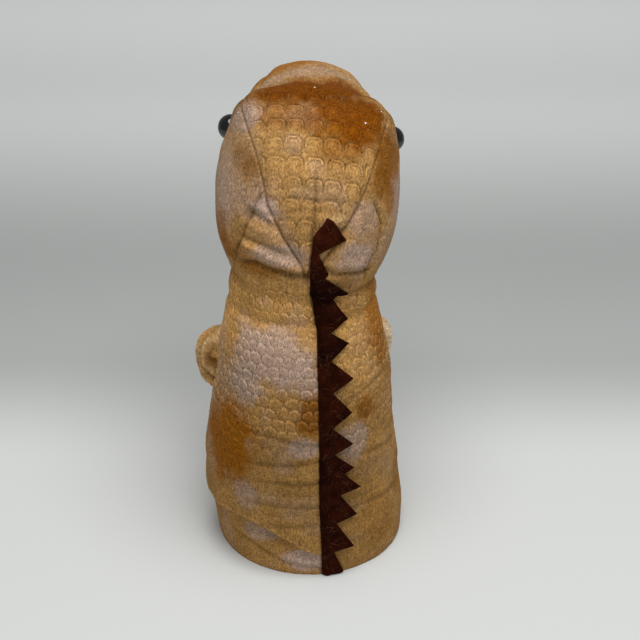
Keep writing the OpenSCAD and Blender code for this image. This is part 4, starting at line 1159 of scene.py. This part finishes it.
def jaw_point(s, a, inset=0.0, room=False):
    """Point of the jaw's skin, or of the room for the thumb, in the head's own frame; a runs from the
    left lip under the chin."""
    f, w, b, share = np.moveaxis(between(jaw_rows, s), -1, 0)
    if room:
        w, b, inset = w * share, b * share, LINING_GAP
    return np.stack([(w - inset) * np.sin(a * DEG), -f + 0 * a, JAW_TOP + (b - inset) * np.cos(a * DEG)], -1)


s = np.arange(1.6, 5.3, 0.37)
gum = jaw_point(s, np.full(len(s), 90.0), TOOTH_IN)
gum[:, 2] = FLOOR - 0.1
lower_teeth = tooth_row("felt_lower_teeth", gum, 1, 92, 3.0, 4.4, 1.5)
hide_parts("lower_teeth")
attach(lower_teeth, "jaw")

# Lower jaw: a padded velour half-shell sewn round the mouth floor, with a pocket for the thumb.
# Its edge is folded over the plate, and it hangs from the mouth fold at the back.
JAW_STEP, JAW_ROW, SEAM_GIRTH, JAW_GIRTH = 5, 14.0, 70, 74
u, a = np.meshgrid(np.linspace(0, len(jaw_rows) - 1, 131), np.linspace(90, 270, 121), indexing="ij")
bare = on_head(jaw_point(u, a))
out = -sloped(bare, False)
off_chin = np.abs(a - 180)
seam_d = (a - 180) / 180 * SEAM_GIRTH
uv = np.stack([(a - 180) / 180 * JAW_GIRTH, u * JAW_ROW], -1)
inside, side, top = pebbles(uv[..., 0], uv[..., 1], 7.4, 6.4, 103)
below_lip = 1 - step(off_chin, 84, 90)
relief = 0.6 * drift(bare, 22, 101) + 0.25 * drift(bare, 9, 102) - 1.2 * hump(seam_d, 1.2)
relief = relief + 0.6 * hump(np.abs(seam_d) - 6, 5) + 0.2 * (step(inside, 0, 0.4) - 0.6)
sewn = (off_chin > 86) | (u < 0.1) | (u > 5.1)
swell = swollen(bare[::JAW_STEP, ::JAW_STEP], sewn[::JAW_STEP, ::JAW_STEP], False, -6.0, 3.0)
relief = (relief + (refined(swell, *bare.shape[:2]) * out).sum(-1)) * below_lip
# the back of the jaw is drawn in where it folds against the throat, and the chin is closed flat
relief = relief * (0.15 + 0.85 * step(u, 0.7, 2.3)) * (1 - 0.9 * step(u, 4.9, 5.6))
relief = relief - 2.6 * (1 - step(u, 0.9, 2.4)) * (1 - step(off_chin, 40, 80))
paint = toned(np.broadcast_to(CREAM, bare.shape), mottled(bare, (0.08, 18, 104), (0.05, 7, 105)))
paint = tinted(paint, TAN, step(off_chin, 35, 75))
# painted highlights on the jaw's scale rims and painted shade in their grooves
paint = scale_light_and_shade(paint, inside, side, top, np.full(u.shape, 0.4))
paint = toned(paint, 1 - 0.45 * hump(seam_d, 0.9))
# The edge rolls over the plate: way in, way up
rolls = [(0.9, 0.5), (2.2, 0.55), (3.2, -0.2)]
left_roll = [on_head(jaw_point(u[:, 0], a[:, 0]) + np.array([-go, 0, up])) for go, up in rolls[::-1]]
right_roll = [on_head(jaw_point(u[:, -1], a[:, -1]) + np.array([go, 0, up])) for go, up in rolls]
chin = np.concatenate([np.stack(left_roll, 1), bare + toned(out, relief), np.stack(right_roll, 1)], 1)
beside = ((0, 0), (len(rolls), len(rolls)), (0, 0))
paint, uv = np.pad(paint, beside, "edge"), np.pad(uv, beside, "edge")
rows, cols = chin.shape[:2]
last = (rows - 1) * cols
jaw_faces = quads(rows, cols) + [[last + j, rows * cols, last + j + 1] for j in range(cols - 1)]


def with_ends(grid, *ends):
    """Points, coordinates or colours of a grid in one list, with single ones after them."""
    return np.concatenate([grid.reshape(-1, grid.shape[-1]), np.stack(ends)])


jaw_cover = piece("velour_jaw", with_ends(chin, chin[-1].mean(0)), turned_over(jaw_faces), velour,
                  with_ends(uv, uv[-1, 60]), with_ends(paint, paint[-1, 60]))
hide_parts("jaw_panel", "jaw_stuffing")
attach(jaw_cover, "jaw")

# Throat: the velour that joins the cheeks and the throat's rim to the back of the jaw. It folds
# in behind the corners of the mouth.
corner = int(np.searchsorted(head_s, 4.75))
outer_line = np.concatenate([lips[1][corner::-3], throat_rim[2:-2:2], lips[0][corner % 3:corner + 1:3]])
steps = way_along(outer_line)
inner_a = 90 + 180 * np.interp(steps / steps[-1], [0, 0.26, 0.5, 0.74, 1], [0, 0.12, 0.5, 0.88, 1])
inner_line = on_head(jaw_point(np.full(len(steps), 0.35), inner_a, 1.2))
u = np.linspace(0, 1, 22)[:, None, None]
at_side = np.abs(np.linspace(-1, 1, len(steps)))
spare = np.stack([at_side * 0, 4.0 + 2.0 * at_side, -8.0 + 9.0 * at_side], -1)
web = mix(outer_line, inner_line, u) + (spare @ head_axes.T) * np.sin(np.pi * u)
# the throat cloth is painted cream darkened by a third, as painted shade under the jaw
web_paint = toned(np.broadcast_to(CREAM * 0.7, web.shape), mottled(web, (0.1, 9, 141)))
web_uv = np.stack(np.broadcast_arrays(steps, u[..., 0] * 20), -1)
throat_cloth = piece("velour_throat", web, quads(*web.shape[:2]), velour, web_uv, web_paint)
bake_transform(throat_cloth)

# Arms: two short stuffed velour tubes with a bent elbow, closed at the hand, sewn to the side
# of the sleeve at the shoulder. The cloth is gathered in creases round the elbow.
ARM_R, FOREARM, DROP, ARM_TURN, CLAW_SPREAD, CLAW_DROP = 12.5, 38.0, 27.0, -40, 12, 14
# Rows of outward place, forward place, height and half width, as shares of the sizes above
arm_rows = np.array([
    [0, 0, 0.10, 0.92], [0.4, 0, 0.14, 1.0], [0.78, 0.01, 0, 1.06], [1.02, 0.05, -0.36, 1.04],
    [1.12, 0.16, -0.77, 0.98], [1.08, 0.38, -1.06, 0.86], [1.02, 0.68, -1.1, 0.78], [0.98, 0.9, -1.06, 0.74],
    [0.96, 1.05, -1.02, 0.52], [0.95, 1.12, -1.0, 0.2]]) * np.array([ARM_R, FOREARM, DROP, ARM_R])
HAND, ARM_STEP = len(arm_rows) - 1, 3
# Folded edge of cloth that runs round the outside of the elbow: place along the arm, angle round it
elbow_fold = np.array([[0.8, 20], [0.8, 60], [1.1, 90], [1.6, 120], [2.1, 130], [2.5, 135], [2.8, 145],
                       [2.9, 160], [3.2, 172]])
ELBOW_HOLLOW = np.array([2.0, 163])
ARM_MM = np.array([7.0, 0.218])
# Creases of the elbow: place along the arm, depth
elbow_creases = ((2.3, 1.0), (2.9, 1.5), (3.5, 1.7), (4.2, 1.3), (5.0, 0.9), (6.3, 0.5))
shoulders = {"left": (43.4, -33.4, 108.0), "right": (-37.523, -33.514, 108.0)}
claw_felt = felt_finish("claw_felt", linear(60, 28, 17), 0.5)
claw_tree = set_out("claws_on_a_hand", "GeometryNodeMeshCone", Vertices=16, Side_Segments=5,
                    Radius_Top=0.09, Radius_Bottom=0.5, Depth=1.0)


def arm_middle(s):
    return between(arm_rows, s)[..., :3] * np.array([1, -1, 1])


for name, sign in (("left", 1), ("right", -1)):
    shoulder = np.array(shoulders[name])
    set_arm = np.diag([sign, 1, 1.0]) @ np.array(Matrix.Rotation(ARM_TURN * DEG, 3, "Z"))
    s, turn = np.linspace(0, HAND, 91), np.linspace(0, 360, 73)[:-1]
    t = unit(arm_middle(np.minimum(s + 0.2, HAND)) - arm_middle(np.maximum(s - 0.2, 0)))
    x = unit(np.cross(t, np.array([1, 1, 0.3])))
    y = np.cross(t, x)
    r = np.maximum(between(arm_rows, s)[:, 3], 0.6)
    ring = np.cos(turn * DEG)[None, :, None] * x[:, None, :] - np.sin(turn * DEG)[None, :, None] * y[:, None, :]
    bare = arm_middle(s)[:, None, :] + r[:, None, None] * ring
    ss, around = np.meshgrid(s, turn, indexing="ij")
    # creases run across the inner bend and fade round to the outside of the elbow
    inner = np.clip(ring @ np.array([-0.75, -0.45, -0.2]), -1, 1)
    stray = 0.175 * drift(bare, 9, 111 + sign)
    crease = sum(depth * hump(ss - at - stray, 0.16) for at, depth in elbow_creases)
    relief = -1.15 * crease * (0.6 + 0.4 * step(inner, -0.5, 0.6))
    relief = relief + 0.7 * drift(bare, 11, 113 + sign) + 0.3 * drift(bare, 5, 115)
    key = np.stack([ss, around], -1) * ARM_MM
    bent = [np.linspace(a, b, 8)[:-1] for a, b in zip(elbow_fold[:-1], elbow_fold[1:])]
    off = key[:, :, None, :] - np.concatenate(bent + [elbow_fold[-1:]]) * ARM_MM
    off = np.linalg.norm(off, axis=-1).min(-1) + 0.4 * drift(bare, 6, 123)
    hollow = np.linalg.norm((key - ELBOW_HOLLOW * ARM_MM) / np.array([4.2, 4.6]), axis=-1)
    relief = relief + 2.3 * hump(off, 1.25) - 1.5 * hump(off - 2.7, 1.3) - 2.4 * hump(hollow, 1.0)
    relief = relief - 0.8 * hump((around - 200) / 360 * 75, 1.1)
    # the filling presses the cloth out between the shoulder, the creases and the seam
    sewn = ((crease > 0.75) & (inner > -0.2)) | (ss < 0.25) | (ss > 8.8) | (hump(hollow, 1) > 0.5)
    swell = swollen(bare[::ARM_STEP, ::ARM_STEP], sewn[::ARM_STEP, ::ARM_STEP], True, 45.0, 2.5)
    swell = (refined(swell, len(s), len(turn), True) * ring).sum(-1)
    relief = (relief + swell - 0.7) * step(ss, 0.0, 0.8) * (1 - step(ss, 8.2, 9.0))
    skin = (bare + toned(ring, relief)) @ set_arm.T + shoulder
    # painted light: the arms' tan, rust and cream are the body's colours made brighter
    paint = np.broadcast_to(TAN * 1.55, skin.shape)
    paint = toned(paint, mottled(skin, (0.10, 14, 117), (0.06, 6, 118)) + 0.02)
    paint = tinted(paint, RUST * 1.2, 0.7 * step(drift(skin, 14, 119 + sign), 0.15, 0.6))
    paint = tinted(paint, CREAM * 1.25, 0.8 * step(drift(skin, 12, 121), 0.0, 0.5))
    # painted shade in the elbow's creases and beside its folded edge; the elbow's hollow is painted rust
    paint = toned(paint, (1 - 0.2 * np.minimum(crease, 1)) * (1 - 0.35 * hump(off - 2.8, 1.5)))
    paint = tinted(paint, RUST * 1.2, 0.95 * hump(hollow, 1.1))
    # painted highlights: the left elbow's folded edge, and the rear of the right upper arm
    if sign > 0:
        paint = tinted(paint, CREAM * 1.35, 0.85 * hump(off, 1.6))
    else:
        rear_highlight = step((skin - skin.mean(1, keepdims=True))[..., 1], -4, 6)
        paint = tinted(paint, linear(236, 212, 180), 0.9 * rear_highlight * (1 - step(ss, 3.5, 5.5)))
    rows, cols = ss.shape
    last, tip = (rows - 1) * cols, rows * cols
    faces = quads(rows, cols, True)
    faces += [[last + j, tip, last + (j + 1) % cols] for j in range(cols)]
    faces += [[j, (j + 1) % cols, tip + 1] for j in range(cols)]
    if sign < 0:
        faces = turned_over(faces)
    uv = np.stack([around / 360 * 70, ss * 9.0], -1)
    arm = piece(name + "_velour_arm", with_ends(skin, skin[-1].mean(0), skin[0].mean(0)), faces, velour,
                with_ends(uv, uv[-1, 0], uv[0, 0]), with_ends(paint, paint[-1, 0], paint[0, 0]))
    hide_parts(name + "_arm_cover", name + "_arm_stuffing")
    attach(arm, name + "_arm")
    tips, axes = [], []
    for side in (-1, 1):
        aim = side * CLAW_SPREAD * DEG
        tips.append(arm_middle(np.array(HAND)) + np.array([side * 2.6, 1.5, 0]))
        axes.append([math.sin(aim), -math.cos(aim), -math.sin(CLAW_DROP * DEG)])
    claws = laid_out(name + "_felt_claws", claw_tree, np.array(tips) @ set_arm.T + shoulder,
                     turned(np.tile(set_arm[:, 0], (2, 1)), np.array(axes) @ set_arm.T),
                     np.ones(2), claw_felt, 8.0, 4.4, 3.6)
    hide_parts(name + "_claws")
    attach(claws, name + "_arm")

# Lining: a thin brown woven bag inside the sleeve and neck, with pockets for the fingers in the
# head and for the thumb in the jaw. It hangs slack from the seams, in shallow wrinkles.
lining_brown = woven_finish("lining_cloth", linear(118, 92, 64), 2200.0)


def slack(points, out, seed, amount):
    """Shallow wrinkles of hanging cloth, inward only."""
    wrinkle = np.abs(drift(points * np.array([1, 1, 0.4]), 9, seed)) + 0.5 * np.abs(drift(points, 5, seed + 1))
    return points - toned(out, amount * wrinkle)


def lining_ring(levels, inset, seed, amount):
    """The bag inside the tube on a grid: heights along the cloth, angles, and points."""
    level, a = np.meshgrid(levels, np.linspace(0, 360, 181)[:-1], indexing="ij")
    out = tube_out(level, a)
    return level, a, slack(tube(level, a) - inset * out, out, seed, amount)


level, a, bag = lining_ring(np.linspace(15.3, COLLAR, 110), 4.2, 131, 0.9)
low_bag = piece("sleeve_lining_bag", bag, turned_over(quads(*level.shape, True)), lining_brown)
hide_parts("sleeve_lining")
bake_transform(low_bag)
level, a, bag = lining_ring(np.linspace(COLLAR, NECK_TOP - 0.4, 30), 4.9, 133, 0.7)
bag[..., 2] -= 4.6 * step(level, 166, NECK_TOP) * at_throat(a)
high_bag = piece("neck_lining_bag", bag, turned_over(quads(*level.shape, True)), lining_brown)
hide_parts("neck_lining")
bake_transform(high_bag)
s, a = np.meshgrid(np.linspace(0.2, 9, 90), np.linspace(-LIP, LIP, 121), indexing="ij")
pocket = on_head(head_point(s, a, room=True))
pocket = slack(pocket, sloped(pocket, False), 135, 0.5)
finger_pocket = piece("finger_pocket", pocket, turned_over(quads(*s.shape)), lining_brown)
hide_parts("finger_lining")
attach(finger_pocket, "head")
s, a = np.meshgrid(np.linspace(0.1, 4, 50), np.linspace(90, 270, 61), indexing="ij")
thumb_pocket = piece("thumb_pocket", on_head(jaw_point(s, a, room=True)), quads(*s.shape), lining_brown)
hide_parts("thumb_lining")
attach(thumb_pocket, "jaw")

# Lint: stray pale fibres caught on the felt and a few white specks on the head, and one dark
# thread on the side, set out by nodes.


def fibre_shape(tree):
    """A bent fibre of unit radius with three flat sides."""
    arc = node(tree, "GeometryNodeCurveArc", {"Resolution": 7, "Radius": 1.0, "Sweep Angle": 1.3})
    ring = node(tree, "GeometryNodeCurvePrimitiveCircle", {"Resolution": 3, "Radius": 0.016})
    return node(tree, "GeometryNodeCurveToMesh", {"Curve": (arc, 0), "Profile Curve": (ring, 0)})


lint_tree = set_out("lint_fibres", fibre_shape)
speck_tree = set_out("small_lumps", "GeometryNodeMeshIcoSphere", Radius=0.5, Subdivisions=2)
lint_pale = felt_finish("lint", linear(108, 70, 50), 0.3)
lint_white = felt_finish("white_lint", linear(226, 222, 212), 0.2)
dark_thread = felt_finish("dark_thread", linear(40, 24, 14), 0.3)
FIBRE_R, HAIR_R = 2.6, 6.5
chance = np.random.default_rng(7)
for name, over, out, count, ends in (
        ("back_felt_lint", back_over, back_out, 320, ("sleeve", "neck", 0.118, COLLAR * MM)),
        ("nape_felt_lint", nape_over, nape_out, 120, ("neck", "head", 0.152, 0.184))):
    i = chance.integers(4, over.shape[0] - 4, count)
    j = chance.integers(2, over.shape[1] - 2, count)
    normal = out[i, j]
    lies = unit(np.cross(normal, chance.normal(size=(count, 3))))
    tilt = unit(normal + 0.25 * chance.normal(size=(count, 3)))
    lint = laid_out(name, lint_tree, over[i, j] + normal * 0.08 - lies * 1.2, turned(lies, tilt),
                    0.5 + chance.random(count), lint_pale, FIBRE_R, FIBRE_R, FIBRE_R)
    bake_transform(lint)
skin = patch_points.reshape(-1, 3)
wanted = np.array([[-7, -23.5, 279.5], [-31.5, 0.5, 266.5], [-41, -8, 270], [37, -18, 271]])
near = [np.linalg.norm(skin - w, axis=1).argmin() for w in wanted]
normal = both_dir[len(ring_levels) - 1:].reshape(-1, 3)[near]
specks = laid_out("head_specks", speck_tree, skin[near] + 0.15 * normal,
                  turned(np.cross(normal, [0.3, 0.2, 1.0]), normal),
                  np.array([1.0, 1.2, 0.8, 0.8]), lint_white, 0.6, 1.2, 0.9)
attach(specks, "head")
hair_at = np.array([86.0]), np.array([80.0])
dark_hair = laid_out("dark_lint", lint_tree, tube(*hair_at) + 2.2 * tube_out(*hair_at),
                     turned(np.array([[0.0, 0.2, 1.0]]), tube_out(*hair_at)),
                     np.ones(1), dark_thread, HAIR_R, HAIR_R, HAIR_R)
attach(dark_hair, "sleeve")

# Stitches: waxed thread that holds the hem's facing to the lining, and the velour to the mouth
# cloth along both lips. Each stitch is a small lump set on its line by nodes.
stitch_thread = woven_finish("stitch_thread", linear(112, 82, 48), 5200.0)
HEM_STITCHES, UPPER_STITCHES, LOWER_STITCHES, STITCH_IN = 120, 44, 36, 1.6
edge = facing[0][np.linspace(0, facing.shape[1] - 1, HEM_STITCHES).astype(int)]
edge = edge + np.array([0, 0, -1.8]) + unit(edge * np.array([-1, -1, 0])) * 0.25
upper = head_point(np.linspace(4.9, 11.2, UPPER_STITCHES), np.full(UPPER_STITCHES, LIP))
upper = upper + np.array([-STITCH_IN, 0, -0.35])
lower = jaw_point(np.linspace(0.8, 5.4, LOWER_STITCHES), np.full(LOWER_STITCHES, 90.0))
lower = lower + np.array([-STITCH_IN, 0, 0.75])
for name, (spots, run), normal, body in (
        ("hem_stitches", (edge, np.gradient(edge, axis=0)), unit(edge * np.array([-1, -1, 0])), "sleeve"),
        ("upper_lip_stitches", lip_rows(upper), -head_axes[:, 2], "head"),
        ("lower_lip_stitches", lip_rows(lower), head_axes[:, 2], "jaw")):
    stitches = laid_out(name, speck_tree, spots, turned(run, np.broadcast_to(normal, spots.shape)),
                        np.ones(len(spots)), stitch_thread, 0.45, 1.9, 0.5)
    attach(stitches, body)

# Studio: a pale floor whose colour holds painted light and shade, darker in a band behind the
# puppet and brighter again at the far end, a soft lamp overhead and even light from all round.
FLOOR_HALF = 6
floor_mesh = bpy.data.meshes.new("studio_floor")
floor_mesh.from_pydata([(x * FLOOR_HALF, y * FLOOR_HALF, 0) for x, y in ((-1, -1), (1, -1), (1, 1), (-1, 1))],
                       [], [(0, 1, 2, 3)])
floor_finish, tree, shader = finish_of("floor_painted_light", rough=0.95, gloss=0.0)
where = node(tree, "ShaderNodeTexCoord")
back = node(tree, "ShaderNodeVectorMath", {0: (where, "Object"), 1: forward}, operation="DOT_PRODUCT")
ramp = node(tree, "ShaderNodeValToRGB", {"Fac": (back, "Value")})
shade = ramp.color_ramp
shade.interpolation = "EASE"
# painted light and shade of the floor: greys from the floor in front to the far end, by metres behind the
# puppet
floor_light_greys = [(0.06, 204), (0.20, 168), (0.34, 164), (0.70, 216), (1.0, 240)]
while len(shade.elements) < len(floor_light_greys):
    shade.elements.new(0.5)
for stop, (at, grey) in zip(shade.elements, floor_light_greys):
    stop.position = at
    stop.color = (*linear(grey, grey + 2, grey), 1)
feed(tree, shader, {"Base Color": (ramp, "Color")})
floor_mesh.materials.append(floor_finish)
floor = stood("studio_floor", floor_mesh)
floor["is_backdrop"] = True
lamp_data = bpy.data.lights.new("overhead_lamp", "AREA")
lamp_data.shape = "DISK"
lamp_data.size = 1.2
lamp_data.energy = 25
lamp = stood("overhead_lamp", lamp_data)
lamp.location = (-0.05, 0.32, 1.5)
lamp.rotation_mode = "QUATERNION"
lamp.rotation_quaternion = (Vector((0, 0, 0.1)) - Vector(lamp.location)).to_track_quat("-Z", "Y")
world = bpy.data.worlds.new("studio_light")
world.use_nodes = True
feed(world.node_tree, world.node_tree.nodes["Background"], {"Color": (0.97, 0.98, 1.0, 1), "Strength": 0.24})
bpy.context.scene.world = world
bpy.context.scene.view_settings.view_transform = "Standard"

low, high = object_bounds()
